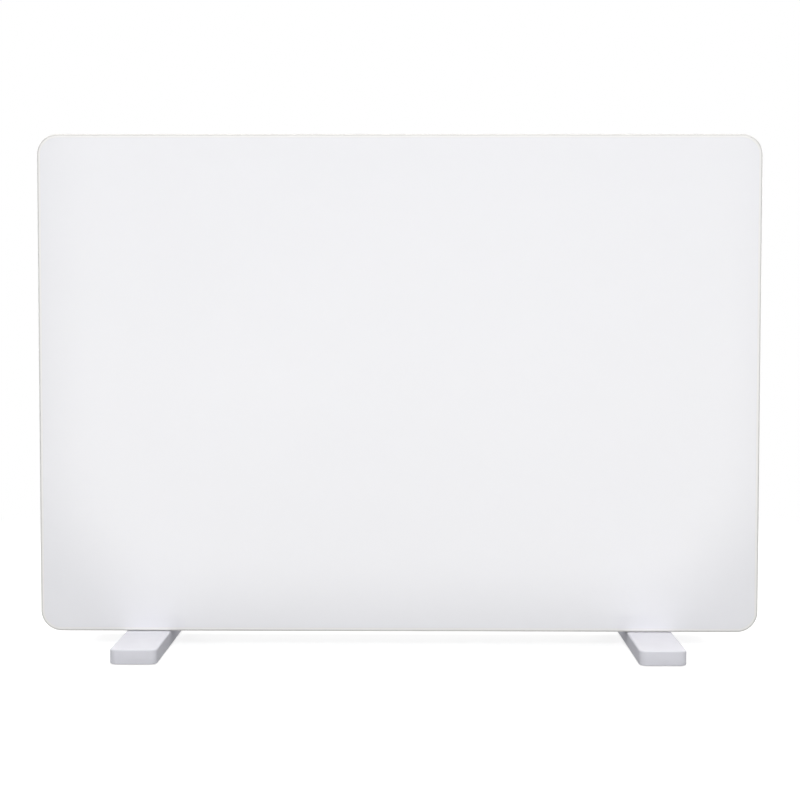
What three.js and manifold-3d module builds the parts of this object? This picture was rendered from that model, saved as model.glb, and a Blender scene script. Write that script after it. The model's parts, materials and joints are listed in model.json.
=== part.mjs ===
// A free-standing glass panel heater in millimetres, +Z up, with its glass facing -Y.
// The origin is on the floor, midway between the two feet and midway along them.

import * as THREE from 'three';
import { ConvexGeometry } from 'three/addons/geometries/ConvexGeometry.js';
import { mergeVertices } from 'three/addons/utils/BufferGeometryUtils.js';
import Module from 'manifold-3d';

const wasm = await Module();
wasm.setup();

// Fits shared by the whole heater
const seatGap = 0.3;
const holeGap = 0.3;
const runningGap = 0.5;
const cutOverrun = 2;

// Glass panel
const glassWidth = 650;
const glassHeight = 448.5;
const glassThickness = 5;
const glassCornerRadius = 18.5;
const glassArris = 1.2;

// Bond strips between the glass and the front plate
const bondThickness = 3;
const bondWidth = 12;
const bondInset = 13;

// Heads of all screws, as shares of the head's own diameter and height
const headFlatShare = 1 / 3;
const headEdgeShare = 0.5;
const recessLengthShare = 0.5;
const recessWidthShare = 0.14;
const recessDepthShare = 0.5;

// Front plate and rear casing, both of sheet steel
const plateThickness = 1;
const sheetThickness = 1;
const casingDepth = 55;
const casingSideInset = 35;
const casingTopInset = 21;
const casingBottomInset = 12;
const casingCornerRadius = 16;
const casingBackRadius = 8;
const rimWidth = 9;

// Raised field pressed into the back of the casing
const fieldSideInset = 34;
const fieldTopInset = 34;
const fieldBottomInset = 112;
const fieldRadius = 18;
const fieldSlope = 4;
const fieldHeight = 2;

// Inlet louvres pressed out of the back, in two rows
const louvreLength = 42;
const louvreHeight = 9;
const louvreReach = 5;
const louvreTaper = 6;
const louvrePitch = 51;
const louvreRowPitch = 20;
const louvreRowCount = 2;
const louvreFirstRow = 24;
const louvreShoulderShare = 0.45;
const louvreShoulderReachShare = 0.85;

// Inlet slots in the bottom wall
const inletSlotLength = 36;
const inletSlotWidth = 5;
const inletSlotPitch = 46;
const inletSlotRowPitch = 16;
const inletSlotRowCount = 2;
const ventMargin = 9;

// Rim screws, which hold the casing on the front plate
const rimScrewDiameter = 3.2;
const rimScrewHead = 6.4;
const rimScrewHeadHeight = 2;
const rimScrewProud = 1.6;
const rimScrewTopShares = [-0.82, 0, 0.82];
const rimScrewBottomShares = [-0.5, 0, 0.5];
const rimScrewSideShare = 0.3;

// Feet
const footLength = 236;
const footWidth = 40.8;
const footThickness = 13;
const footCornerRadius = 6.5;
const footEdgeRadius = 1.4;
const footReach = 82.6;
const footInset = 97.5;
const glassLift = 0.4;
const pedestalWidth = 34;
const pedestalSetback = 3;
const pedestalCornerRadius = 4;

// Rubber pads under the feet
const padLength = 26;
const padWidth = 26;
const padThickness = 2.6;
const padProud = 1;
const padInset = 9;
const padCornerRadius = 4;

// Foot screws and the nut plates that they draw down on the casing floor
const footScrewDiameter = 5;
const footScrewHead = 9.4;
const footScrewHeadHeight = 3;
const footCounterbore = 5;
const footScrewProud = 2;
const footScrewPitchShare = 0.6;
const nutPlateWidth = 30;
const nutPlateThickness = 4;

// Outlet grille in the top wall
const grilleReach = 3;
const grilleSetback = 3.5;
const grilleSideLap = 6;
const grilleEndLap = 12;
const grilleFlange = 2;
const grilleCornerRadius = 3;
const grilleCollarDepth = 10;
const grilleWall = 2;
const vanePitch = 12;
const vaneThickness = 1.8;
const vaneSlantDegrees = 25;
const vaneSink = 0.6;
const grilleRibWidth = 2.4;
const grilleScrewDiameter = 3;
const grilleScrewHead = 6;
const grilleScrewHeadHeight = 1.8;
const grilleScrewProud = 5;

// Control plate on the side wall
const controlThickness = 2.5;
const controlSetback = 4;
const controlDrop = 10;
const controlCornerRadius = 4;
const controlEdgeRadius = 0.7;
const controlEndZone = 15;
const controlSpacing = 10;
const controlScrewDiameter = 3;
const controlScrewHead = 5.6;
const controlScrewHeadHeight = 1.8;
const controlScrewProud = 4;

// Thermostat and its knob
const knobDiameter = 31;
const knobHeight = 14;
const knobSkirtDiameter = 33;
const knobSkirtHeight = 2.4;
const knobFluteCount = 16;
const knobFluteDepth = 0.9;
const knobEdgeRadius = 1;
const knobHollowDiameter = 21;
const knobHollowDepth = 5.5;
const knobCap = 3;
const knobMarkWidth = 1.6;
const knobMarkDepth = 0.8;
const knobMarkCentreShare = 0.375;
const knobStartDegrees = 135;
const shaftDiameter = 6;
const shaftFlat = 1.2;
const shaftInsertion = 7;
const bushDiameter = 9.4;
const bushProud = 1;
const thermostatWidth = 30;
const thermostatHeight = 34;
const thermostatDepth = 16;
const thermostatCornerRadius = 3;
const nutAcrossFlats = 13;
const nutThickness = 3;
const bladeWidth = 4.8;
const bladeThickness = 0.8;
const bladeLength = 7;
const bladePitch = 9;

// Rocker switches
const rockerLength = 14.6;
const rockerWidth = 10;
const rockerRise = 4.6;
const rockerSideDepth = 3;
const rockerKeelWidth = 6;
const rockerKeelDepth = 2;
const rockerTiltDegrees = 8;
const rockerPinDiameter = 2.6;
const rockerPinReach = 1.2;
const switchWall = 1.2;
const switchBezelLap = 1.4;
const switchBezelThickness = 1.6;
const switchCornerRadius = 1.5;
const switchDepth = 15;
const switchWellDepth = 9.6;

// Indicator lens
const lensDiameter = 7;
const lensFlangeDiameter = 9.6;
const lensFlangeThickness = 1.2;
const lensDome = 1.4;
const lensTail = 9;

// Heating chamber: two walls, the element between them and the shield behind it
const chamberGap = 4;
const chamberFlange = 12;
const shieldThickness = 0.8;
const shieldStandoff = 8;
const shieldHeight = 120;
const shieldFlange = 12;
const elementHeight = 60;
const elementCoreSize = 12;
const finHeight = 38;
const finDepth = 28;
const finThickness = 1;
const finPitch = 12.5;
const finEndMargin = 8;
const elementPinDiameter = 5;
const elementPinProud = 9;
const elementBushDiameter = 11;
const elementBushFlange = 17;
const elementBushFlangeThickness = 3;
const elementBushProud = 3;

// Thermal cut-out on the chamber wall
const cutoutHeight = 106;
const cutoutCapDiameter = 12;
const cutoutCapProud = 2;
const cutoutBodyDiameter = 15;
const cutoutBodyDepth = 9;
const cutoutEarLength = 24;
const cutoutEarThickness = 1.2;

// Tip-over switch on the chamber wall
const tipHeight = 190;
const tipWall = 1.5;
const tipInnerWidth = 16;
const tipDepth = 22;
const tipEarBelowPin = 7;
const tipPinDiameter = 3;
const tipPinProud = 1.5;
const pendulumHubDiameter = 8;
const pendulumWidth = 12;
const pendulumArmWidth = 4;
const pendulumReach = 22;
const pendulumBobDiameter = 14;
const microswitchHeight = 6.6;
const microswitchLength = 13;
const microswitchWidth = 10;
const plungerDiameter = 2.4;
const plungerLength = 1.2;

// Cord gland in the back and terminal block above it
const glandHeight = 30;
const glandStubDiameter = 15.4;
const glandFlangeDiameter = 22;
const glandFlangeThickness = 3;
const glandNeckDiameter = 18;
const glandMouthDiameter = 13;
const glandLength = 20;
const glandBoreDiameter = 8;
const glandStubProud = 2;
const glandNutAcrossFlats = 20;
const glandNutThickness = 4;
const blockLength = 34;
const blockWidth = 20;
const blockDepth = 13;
const blockSpacing = 8;
const blockWayCount = 3;
const blockNotchWidth = 2;
const blockNotchDepth = 8;
const blockScrewDiameter = 4;
const blockScrewDepth = 6;

// Insulated leads
const leadDiameter = 2.8;
const leadExit = 10;

// Facets. An arc of an outline has twice as many sides as its steps.
const cornerSteps = 3;
const smallCornerSteps = 2;
const glassCornerSteps = 4;
const slotEndSteps = 2;
const edgeSteps = 2;
const chamferSteps = 1;
const backEdgeSteps = 3;
const screwSides = 8;
const roundSides = 16;
const smallRoundSides = 8;
const boreSides = 12;
const hexSides = 6;
const knobSidesPerFlute = 4;
const leadSides = 6;
const leadSteps = 8;

// Colours and finishes
const finishes = {
  glass: { color: 0xf3f4f6, roughness: 0.06, metalness: 0 },
  bond: { color: 0xcfd0d2, roughness: 0.8, metalness: 0 },
  whiteSteel: { color: 0xe9e9eb, roughness: 0.45, metalness: 0 },
  whitePlastic: { color: 0xe4e4ea, roughness: 0.4, metalness: 0 },
  greyPlastic: { color: 0x8f9296, roughness: 0.5, metalness: 0 },
  darkPlastic: { color: 0x2c2d30, roughness: 0.5, metalness: 0 },
  rubber: { color: 0x3a3b3d, roughness: 0.85, metalness: 0 },
  plated: { color: 0xc4c6c8, roughness: 0.3, metalness: 1 },
  aluminium: { color: 0xc9cbce, roughness: 0.4, metalness: 1 },
  brass: { color: 0xc7a35a, roughness: 0.35, metalness: 1 },
  ceramic: { color: 0xeeeae0, roughness: 0.5, metalness: 0 },
  lens: { color: 0xd8552e, roughness: 0.15, metalness: 0 },
  red: { color: 0x9c3b32, roughness: 0.5, metalness: 0 },
  blue: { color: 0x35507f, roughness: 0.5, metalness: 0 },
  brown: { color: 0x6a4a37, roughness: 0.5, metalness: 0 },
};

// Places that the pieces share. In the panel's frame x is to the right, y is up from the lower edge of
// the glass, and z comes forward from the face of the glass, so everything behind the glass has z below 0.
const bondFrontZ = -glassThickness - seatGap;
const bondBackZ = bondFrontZ - bondThickness;
const plateFrontZ = bondBackZ - seatGap;
const plateBackZ = plateFrontZ - plateThickness;
const rimFrontZ = plateBackZ - seatGap;
const rimBackZ = rimFrontZ - sheetThickness;
const casingBackZ = rimFrontZ - casingDepth;
const casingInnerBackZ = casingBackZ + sheetThickness;
const flatBackZ = casingBackZ + casingBackRadius;
const flatLength = rimBackZ - flatBackZ;
const flatCentreZ = (rimBackZ + flatBackZ) / 2;
const casingHalfWidth = glassWidth / 2 - casingSideInset;
const casingBottomY = casingBottomInset;
const casingTopY = glassHeight - casingTopInset;
const casingFloorY = casingBottomY + sheetThickness;
const rimHalfWidth = casingHalfWidth + rimWidth;
const rimBottomY = casingBottomY - rimWidth;
const rimTopY = casingTopY + rimWidth;
const rimCornerRadius = casingCornerRadius + rimWidth;
const rimCentreY = (rimBottomY + rimTopY) / 2;

const footX = glassWidth / 2 - footInset;
const footTopZ = padProud + footThickness;
const glassBottomZ = footTopZ + glassLift;
const glassFrontY = footReach - footLength / 2;
const pedestalTopZ = glassBottomZ + casingBottomY - seatGap;
const pedestalLength = flatLength - 2 * pedestalSetback;
const pedestalCentreY = glassFrontY - flatCentreZ;
const nutPlateBottomZ = glassBottomZ + casingFloorY + seatGap;
const footScrewSeatZ = padProud + footCounterbore;
const footScrewOffset = (pedestalLength * footScrewPitchShare) / 2;

const chamberX = footX - nutPlateWidth / 2 - chamberGap;
const chamberInnerX = chamberX - sheetThickness / 2;
const chamberOuterX = chamberX + sheetThickness / 2;
const ventHalfWidth = chamberInnerX - ventMargin;
const elementY = casingBottomY + elementHeight;
const cutoutY = casingBottomY + cutoutHeight;
const tipTopY = casingBottomY + tipHeight;

// Down from the top of the tip-over switch, and outwards from the chamber wall
const tipWebUnderY = -tipWall;
const tipPlungerY = tipWebUnderY - seatGap - microswitchHeight - plungerLength;
const tipPinY = tipPlungerY - runningGap - pendulumHubDiameter / 2;
const tipCentreZ = seatGap + tipWall + tipInnerWidth / 2;

const grilleLength = 2 * (chamberOuterX + grilleReach);
const grilleWidth = flatLength - 2 * grilleSetback;
const collarLength = grilleLength - 2 * grilleEndLap;
const collarWidth = grilleWidth - 2 * grilleSideLap;
const grilleScrewX = (grilleLength - grilleEndLap) / 2;

// Along the control plate, from its upper end downwards
const controlWidth = flatLength - 2 * controlSetback;
const controlTopY = casingTopY - casingCornerRadius - controlDrop;
const rockerTilt = THREE.MathUtils.degToRad(rockerTiltDegrees);
const rockerEndRise = rockerRise + (rockerLength / 2) * Math.tan(rockerTilt);
const rockerSweep = (rockerLength / 2) * Math.cos(rockerTilt) + rockerEndRise * Math.sin(rockerTilt);
const wellLength = 2 * (rockerSweep + runningGap);
const wellWidth = rockerWidth + 2 * runningGap;
const switchLength = wellLength + 2 * switchWall;
const switchWidth = wellWidth + 2 * switchWall;
const bezelLength = switchLength + 2 * switchBezelLap;
const bezelWidth = switchWidth + 2 * switchBezelLap;
const knobY = -controlEndZone - knobSkirtDiameter / 2;
const lensY = knobY - knobSkirtDiameter / 2 - controlSpacing - lensFlangeDiameter / 2;
const lowSwitchY = lensY - lensFlangeDiameter / 2 - controlSpacing - bezelLength / 2;
const highSwitchY = lowSwitchY - bezelLength - controlSpacing;
const controlLength = controlEndZone + bezelLength / 2 - highSwitchY;
const controlScrewYs = [-controlEndZone / 2, controlEndZone / 2 - controlLength];

// Outwards from the outer face of the side wall
const controlFaceZ = seatGap + controlThickness;
const bezelTopZ = controlFaceZ + seatGap + switchBezelThickness;
const rockerPivotZ = bezelTopZ + runningGap - rockerRise;
const nutBackZ = controlFaceZ + seatGap;
const bushTopZ = nutBackZ + nutThickness + bushProud;
const knobBackZ = controlFaceZ + runningGap;
const shaftTopZ = knobBackZ + knobHeight - knobCap - seatGap;
const shaftBottomZ = -sheetThickness - seatGap - shaftInsertion;

const glandX = (chamberOuterX + casingHalfWidth - sheetThickness) / 2;
const glandY = casingBottomY + glandHeight;
const glandNutRadius = glandNutAcrossFlats / 2 / Math.cos(Math.PI / hexSides);
const blockY = glandY + glandNutRadius + blockSpacing + blockLength / 2;

// Merges the corners of a geometry and drops faces that have closed up, as at the pole of a turned form.
function closedGeometry(geometry) {
  const bare = geometry.clone();
  bare.deleteAttribute('normal');
  bare.deleteAttribute('uv');
  const merged = mergeVertices(bare);
  const corners = merged.index.array;
  const kept = [];
  for (let i = 0; i < corners.length; i += 3) {
    const [a, b, c] = [corners[i], corners[i + 1], corners[i + 2]];
    if (a !== b && b !== c && c !== a) {
      kept.push(a, b, c);
    }
  }
  merged.setIndex(kept);
  return merged;
}

function solidOf(geometry) {
  const closed = closedGeometry(geometry);
  const mesh = new wasm.Mesh({
    numProp: 3,
    vertProperties: closed.attributes.position.array,
    triVerts: Uint32Array.from(closed.index.array),
  });
  return new wasm.Manifold(mesh);
}

function geometryOf(solid) {
  const mesh = solid.getMesh();
  const geometry = new THREE.BufferGeometry();
  geometry.setAttribute('position', new THREE.BufferAttribute(mesh.vertProperties, mesh.numProp));
  geometry.setIndex(new THREE.BufferAttribute(mesh.triVerts, 1));
  geometry.computeVertexNormals();
  return geometry;
}

// Joins the added geometries to the base and then cuts the tools out of it.
function worked(base, added, tools) {
  let solid = solidOf(base);
  for (const geometry of added) {
    solid = solid.add(solidOf(geometry));
  }
  for (const geometry of tools) {
    solid = solid.subtract(solidOf(geometry));
  }
  return geometryOf(solid);
}

function trimmed(geometry, room) {
  return geometryOf(solidOf(geometry).intersect(solidOf(room)));
}

// Outlines
function roundedRectangle(width, height, radius) {
  const outline = new THREE.Shape();
  const right = width / 2 - radius;
  const top = height / 2 - radius;
  const quarter = Math.PI / 2;
  outline.moveTo(-right, -top - radius);
  outline.lineTo(right, -top - radius);
  outline.absarc(right, -top, radius, -quarter, 0);
  outline.lineTo(right + radius, top);
  outline.absarc(right, top, radius, 0, quarter);
  outline.lineTo(-right, top + radius);
  outline.absarc(-right, top, radius, quarter, 2 * quarter);
  outline.lineTo(-right - radius, -top);
  outline.absarc(-right, -top, radius, 2 * quarter, 3 * quarter);
  return outline;
}

function obround(length, width) {
  const outline = new THREE.Shape();
  const radius = width / 2;
  const reach = length / 2 - radius;
  outline.moveTo(-reach, -radius);
  outline.lineTo(reach, -radius);
  outline.absarc(reach, 0, radius, -Math.PI / 2, Math.PI / 2);
  outline.lineTo(-reach, radius);
  outline.absarc(-reach, 0, radius, Math.PI / 2, (3 * Math.PI) / 2);
  return outline;
}

function polygonOutline(points) {
  return new THREE.Shape(points.map(([x, y]) => new THREE.Vector2(x, y)));
}

function regularOutline(radius, sides) {
  const points = [];
  for (let i = 0; i < sides; i += 1) {
    const angle = (i * 2 * Math.PI) / sides;
    points.push([radius * Math.cos(angle), radius * Math.sin(angle)]);
  }
  return polygonOutline(points);
}

// Forms. Each stands on z = 0 and rises along +z unless its comment says otherwise.
function slab(outline, thickness, curveSegments) {
  return new THREE.ExtrudeGeometry(outline, { depth: thickness, bevelEnabled: false, curveSegments });
}

function softSlab(outline, thickness, edgeRadius, curveSegments, bevelSegments = edgeSteps) {
  const geometry = new THREE.ExtrudeGeometry(outline, {
    depth: thickness - 2 * edgeRadius,
    bevelThickness: edgeRadius,
    bevelSize: edgeRadius,
    bevelOffset: -edgeRadius,
    bevelSegments,
    curveSegments,
  });
  return geometry.translate(0, 0, edgeRadius);
}

function block(width, height, depth) {
  return new THREE.BoxGeometry(width, height, depth).translate(0, 0, depth / 2);
}

// A round bar along z between two heights.
function bar(diameter, bottom, top, sides) {
  const geometry = new THREE.CylinderGeometry(diameter / 2, diameter / 2, top - bottom, sides);
  return geometry.rotateX(Math.PI / 2).translate(0, 0, (bottom + top) / 2);
}

// A form turned about z from pairs of radius and height.
function turned(profile, sides) {
  const points = profile.map(([radius, height]) => new THREE.Vector2(radius, height));
  return new THREE.LatheGeometry(points, sides).rotateX(Math.PI / 2);
}

// A closed form through rings of equal point count, given from the lowest z upwards.
function lofted(rings) {
  const count = rings[0].length;
  const last = (rings.length - 1) * count;
  const indices = [];
  for (let i = 1; i < count - 1; i += 1) {
    indices.push(0, i + 1, i);
    indices.push(last, last + i, last + i + 1);
  }
  for (let ring = 0; ring < rings.length - 1; ring += 1) {
    for (let i = 0; i < count; i += 1) {
      const a = ring * count + i;
      const b = ring * count + ((i + 1) % count);
      indices.push(a, b, b + count);
      indices.push(a, b + count, a + count);
    }
  }
  const geometry = new THREE.BufferGeometry().setFromPoints(rings.flat());
  geometry.setIndex(indices);
  return geometry;
}

function ringAt(halfWidth, bottom, top, radius, z) {
  const outline = roundedRectangle(2 * halfWidth, top - bottom, radius);
  const centre = (bottom + top) / 2;
  const points = outline.extractPoints(cornerSteps).shape;
  return points.map((point) => new THREE.Vector3(point.x, point.y + centre, z));
}

// A pan-headed screw with a cross recess: its head stands on z = 0 and its shank reaches down.
function crossScrew(diameter, head, headHeight, length) {
  const shank = diameter / 2;
  const recess = headHeight * recessDepthShare;
  const recessLength = head * recessLengthShare;
  const recessWidth = head * recessWidthShare;
  const profile = [
    [0, -length],
    [shank, shank - length],
    [shank, 0],
    [head / 2, 0],
    [head / 2, headHeight * headEdgeShare],
    [head * headFlatShare, headHeight],
    [0, headHeight],
  ];
  const arms = [
    block(recessLength, recessWidth, recess + cutOverrun),
    block(recessWidth, recessLength, recess + cutOverrun),
  ];
  return worked(turned(profile, screwSides), [], arms.map((arm) => arm.translate(0, 0, headHeight - recess)));
}

function nutWithBore(acrossFlats, thickness, boreDiameter) {
  const radius = acrossFlats / 2 / Math.cos(Math.PI / hexSides);
  const bore = bar(boreDiameter, -cutOverrun, thickness + cutOverrun, boreSides);
  return worked(slab(regularOutline(radius, hexSides), thickness), [], [bore]);
}

function mesh(name, geometry, finish) {
  const result = new THREE.Mesh(geometry, new THREE.MeshStandardMaterial(finishes[finish]));
  result.name = name;
  return result;
}

// Glass and what bonds it to the front plate
function glassPanel() {
  const outline = roundedRectangle(glassWidth, glassHeight, glassCornerRadius);
  const piece = mesh('glass_panel', softSlab(outline, glassThickness, glassArris, glassCornerSteps), 'glass');
  piece.position.set(0, glassHeight / 2, -glassThickness);
  return piece;
}

function bondStrips() {
  const outerHalfWidth = rimHalfWidth - bondInset;
  const outerHalfHeight = (rimTopY - rimBottomY) / 2 - bondInset;
  const sideLength = 2 * (outerHalfHeight - bondWidth - seatGap);
  const lines = [
    ['bond_strip_top', 2 * outerHalfWidth, bondWidth, 0, outerHalfHeight - bondWidth / 2],
    ['bond_strip_bottom', 2 * outerHalfWidth, bondWidth, 0, bondWidth / 2 - outerHalfHeight],
    ['bond_strip_left', bondWidth, sideLength, bondWidth / 2 - outerHalfWidth, 0],
    ['bond_strip_right', bondWidth, sideLength, outerHalfWidth - bondWidth / 2, 0],
  ];
  return lines.map(([name, width, height, x, y]) => {
    const piece = mesh(name, block(width, height, bondThickness), 'bond');
    piece.position.set(x, rimCentreY + y, bondBackZ);
    return piece;
  });
}

// Places of the rim screws in the panel's frame
function rimScrewPlaces() {
  const halfWidth = rimHalfWidth - rimWidth / 2;
  const bottom = rimBottomY + rimWidth / 2;
  const top = rimTopY - rimWidth / 2;
  const sideY = bottom + (top - bottom) * rimScrewSideShare;
  return [
    ...rimScrewTopShares.map((share) => [halfWidth * share, top]),
    ...rimScrewBottomShares.map((share) => [halfWidth * share, bottom]),
    [-halfWidth, sideY],
    [halfWidth, sideY],
  ];
}

function rimHoles() {
  const diameter = rimScrewDiameter + 2 * holeGap;
  const back = rimBackZ - cutOverrun;
  return rimScrewPlaces().map(([x, y]) => {
    const hole = bar(diameter, back, bondFrontZ, smallRoundSides);
    return hole.translate(x, y, 0);
  });
}

function frontPlate() {
  const outline = roundedRectangle(2 * rimHalfWidth, rimTopY - rimBottomY, rimCornerRadius);
  const sheet = slab(outline, plateThickness, cornerSteps).translate(0, rimCentreY, plateBackZ);
  return mesh('front_plate', worked(sheet, [], rimHoles()), 'whiteSteel');
}

function rimScrews() {
  const length = sheetThickness + plateThickness + 2 * seatGap + rimScrewProud;
  return rimScrewPlaces().map(([x, y], index) => {
    const geometry = crossScrew(rimScrewDiameter, rimScrewHead, rimScrewHeadHeight, length);
    const piece = mesh(`rim_screw_${index + 1}`, geometry, 'plated');
    piece.position.set(x, y, rimBackZ - seatGap);
    piece.rotation.y = Math.PI;
    return piece;
  });
}

// Rear casing: a pressed pan, open to the front, with an outward rim
function casingPan(shrink, frontZ) {
  const field = [
    casingHalfWidth - fieldSideInset,
    casingBottomY + fieldBottomInset,
    casingTopY - fieldTopInset,
  ];
  const backZ = casingBackZ + shrink;
  const rings = [
    ringAt(
      field[0] - fieldSlope,
      field[1] + fieldSlope,
      field[2] - fieldSlope,
      fieldRadius - fieldSlope,
      backZ - fieldHeight,
    ),
    ringAt(...field, fieldRadius, backZ),
  ];
  const edgeRadius = casingBackRadius - shrink;
  for (let step = 0; step <= backEdgeSteps; step += 1) {
    const angle = ((1 - step / backEdgeSteps) * Math.PI) / 2;
    const inset = shrink + edgeRadius * (1 - Math.cos(angle));
    const z = backZ + edgeRadius * (1 - Math.sin(angle));
    const radius = casingCornerRadius - inset;
    rings.push(ringAt(casingHalfWidth - inset, casingBottomY + inset, casingTopY - inset, radius, z));
  }
  const front = casingCornerRadius - shrink;
  rings.push(ringAt(casingHalfWidth - shrink, casingBottomY + shrink, casingTopY - shrink, front, frontZ));
  return lofted(rings);
}

function casingRim() {
  const outline = roundedRectangle(2 * rimHalfWidth, rimTopY - rimBottomY, rimCornerRadius);
  return slab(outline, sheetThickness, cornerSteps).translate(0, rimCentreY, rimBackZ);
}

// Centres of as many things of one pitch as fit in the vented width
function ventCentres(length, pitch) {
  const count = Math.floor((2 * ventHalfWidth - length) / pitch) + 1;
  return Array.from({ length: count }, (unused, index) => (index - (count - 1) / 2) * pitch);
}

function louvrePlaces() {
  const places = [];
  for (let row = 0; row < louvreRowCount; row += 1) {
    for (const x of ventCentres(louvreLength, louvrePitch)) {
      places.push([x, casingBottomY + louvreFirstRow + row * louvreRowPitch]);
    }
  }
  return places;
}

// The outer form of a louvre, or its hollow, which is a sheet thinner and open below.
function louvreHood(shrink, rootZ, lipY) {
  const half = louvreLength / 2 - shrink;
  const lip = half - louvreTaper;
  const reach = louvreReach - shrink;
  const top = louvreHeight - shrink;
  const points = [];
  for (const side of [-1, 1]) {
    points.push(new THREE.Vector3(side * half, top, rootZ));
    points.push(new THREE.Vector3(side * half, lipY, rootZ));
    points.push(new THREE.Vector3(side * lip, lipY, -reach));
    points.push(new THREE.Vector3(side * lip, top * louvreShoulderShare, -reach * louvreShoulderReachShare));
  }
  return new ConvexGeometry(points);
}

function louvreHoods() {
  const root = sheetThickness / 2;
  return louvrePlaces().map(([x, y]) => louvreHood(0, root, 0).translate(x, y, casingBackZ));
}

function louvreHollows() {
  const width = louvreLength - 2 * sheetThickness;
  const height = louvreHeight - sheetThickness;
  const depth = sheetThickness + cutOverrun;
  return louvrePlaces().flatMap(([x, y]) => [
    louvreHood(sheetThickness, 0, -cutOverrun).translate(x, y, casingBackZ),
    block(width, height, depth).translate(x, y + height / 2, casingBackZ),
  ]);
}

function inletSlots() {
  const depth = sheetThickness + 2 * cutOverrun;
  const slots = [];
  for (let row = 0; row < inletSlotRowCount; row += 1) {
    const z = flatCentreZ + (row - (inletSlotRowCount - 1) / 2) * inletSlotRowPitch;
    for (const x of ventCentres(inletSlotLength, inletSlotPitch)) {
      const slot = slab(obround(inletSlotLength, inletSlotWidth), depth, slotEndSteps).rotateX(-Math.PI / 2);
      slots.push(slot.translate(x, casingBottomY - cutOverrun, z));
    }
  }
  return slots;
}

function floorHoles() {
  const diameter = footScrewDiameter + 2 * holeGap;
  const holes = [];
  for (const x of [-footX, footX]) {
    for (const z of [flatCentreZ - footScrewOffset, flatCentreZ + footScrewOffset]) {
      const hole = bar(diameter, -cutOverrun, sheetThickness + cutOverrun, smallRoundSides);
      holes.push(hole.rotateX(-Math.PI / 2).translate(x, casingBottomY, z));
    }
  }
  return holes;
}

function topOpenings() {
  const depth = sheetThickness + 2 * cutOverrun;
  const opening = block(collarLength + 2 * holeGap, collarWidth + 2 * holeGap, depth);
  const diameter = grilleScrewDiameter + 2 * holeGap;
  const cuts = [opening];
  for (const x of [-grilleScrewX, grilleScrewX]) {
    cuts.push(bar(diameter, 0, depth, smallRoundSides).translate(x, 0, 0));
  }
  const base = casingTopY - sheetThickness - cutOverrun;
  return cuts.map((cut) => cut.rotateX(-Math.PI / 2).translate(0, base, flatCentreZ));
}

// Moves a form from the side wall's frame, with z outwards, to the panel's frame.
function ontoSideWall(geometry) {
  return geometry.rotateY(Math.PI / 2).translate(casingHalfWidth, controlTopY, flatCentreZ);
}

// The holes that the controls need through the control plate and the side wall alike
function controlHoles() {
  const bottom = -sheetThickness - cutOverrun;
  const top = controlFaceZ + cutOverrun;
  const round = (diameter, y) => bar(diameter + 2 * holeGap, bottom, top, boreSides).translate(0, y, 0);
  const square = (y) =>
    block(switchWidth + 2 * holeGap, switchLength + 2 * holeGap, top - bottom).translate(0, y, bottom);
  return [
    round(bushDiameter, knobY),
    round(lensDiameter, lensY),
    square(lowSwitchY),
    square(highSwitchY),
    ...controlScrewYs.map((y) => round(controlScrewDiameter, y)),
  ];
}

function glandHole() {
  const hole = bar(glandStubDiameter + 2 * holeGap, -cutOverrun, sheetThickness + cutOverrun, roundSides);
  return hole.translate(glandX, glandY, casingBackZ);
}

function rearCasing() {
  const pan = casingPan(0, rimFrontZ);
  const hollow = casingPan(sheetThickness, rimFrontZ + cutOverrun);
  const shell = worked(pan, [casingRim()], [hollow]);
  const cuts = [
    ...louvreHollows(),
    ...inletSlots(),
    ...floorHoles(),
    ...topOpenings(),
    ...controlHoles().map(ontoSideWall),
    ...rimHoles(),
    glandHole(),
  ];
  return mesh('rear_casing', worked(shell, louvreHoods(), cuts), 'whiteSteel');
}

// Outlet grille, drawn with x along the heater, y to the back and z up from the casing's top wall
function grilleVanes() {
  const top = seatGap + grilleFlange - vaneSink;
  const bottom = -grilleCollarDepth;
  const shift = (top - bottom) * Math.tan(THREE.MathUtils.degToRad(vaneSlantDegrees));
  const width = collarWidth - grilleWall;
  const room = collarLength - 2 * grilleWall - shift - vaneThickness;
  const count = Math.floor(room / vanePitch) + 1;
  const outline = polygonOutline([
    [-shift / 2 - vaneThickness / 2, bottom],
    [-shift / 2 + vaneThickness / 2, bottom],
    [shift / 2 + vaneThickness / 2, top],
    [shift / 2 - vaneThickness / 2, top],
  ]);
  return Array.from({ length: count }, (unused, index) => {
    const x = (index - (count - 1) / 2) * vanePitch;
    return slab(outline, width).rotateX(Math.PI / 2).translate(x, width / 2, 0);
  });
}

function outletGrille() {
  const outline = roundedRectangle(grilleLength, grilleWidth, grilleCornerRadius);
  const flange = slab(outline, grilleFlange, smallCornerSteps);
  const height = grilleCollarDepth + seatGap + grilleFlange;
  const collar = block(collarLength, collarWidth, height - grilleFlange / 2);
  const mouth = block(collarLength - 2 * grilleWall, collarWidth - 2 * grilleWall, height + 2 * cutOverrun);
  const frame = worked(
    flange.translate(0, 0, seatGap),
    [collar.translate(0, 0, -grilleCollarDepth)],
    [mouth.translate(0, 0, -grilleCollarDepth - cutOverrun)],
  );
  const ribHeight = height - 2 * vaneSink;
  const rib = block(collarLength - grilleWall, grilleRibWidth, ribHeight);
  const holes = [-grilleScrewX, grilleScrewX].map((x) =>
    bar(grilleScrewDiameter + 2 * holeGap, -cutOverrun, height, smallRoundSides).translate(x, 0, 0),
  );
  const added = [rib.translate(0, 0, vaneSink - grilleCollarDepth), ...grilleVanes()];
  return mesh('outlet_grille', worked(frame, added, holes), 'whitePlastic');
}

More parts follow.
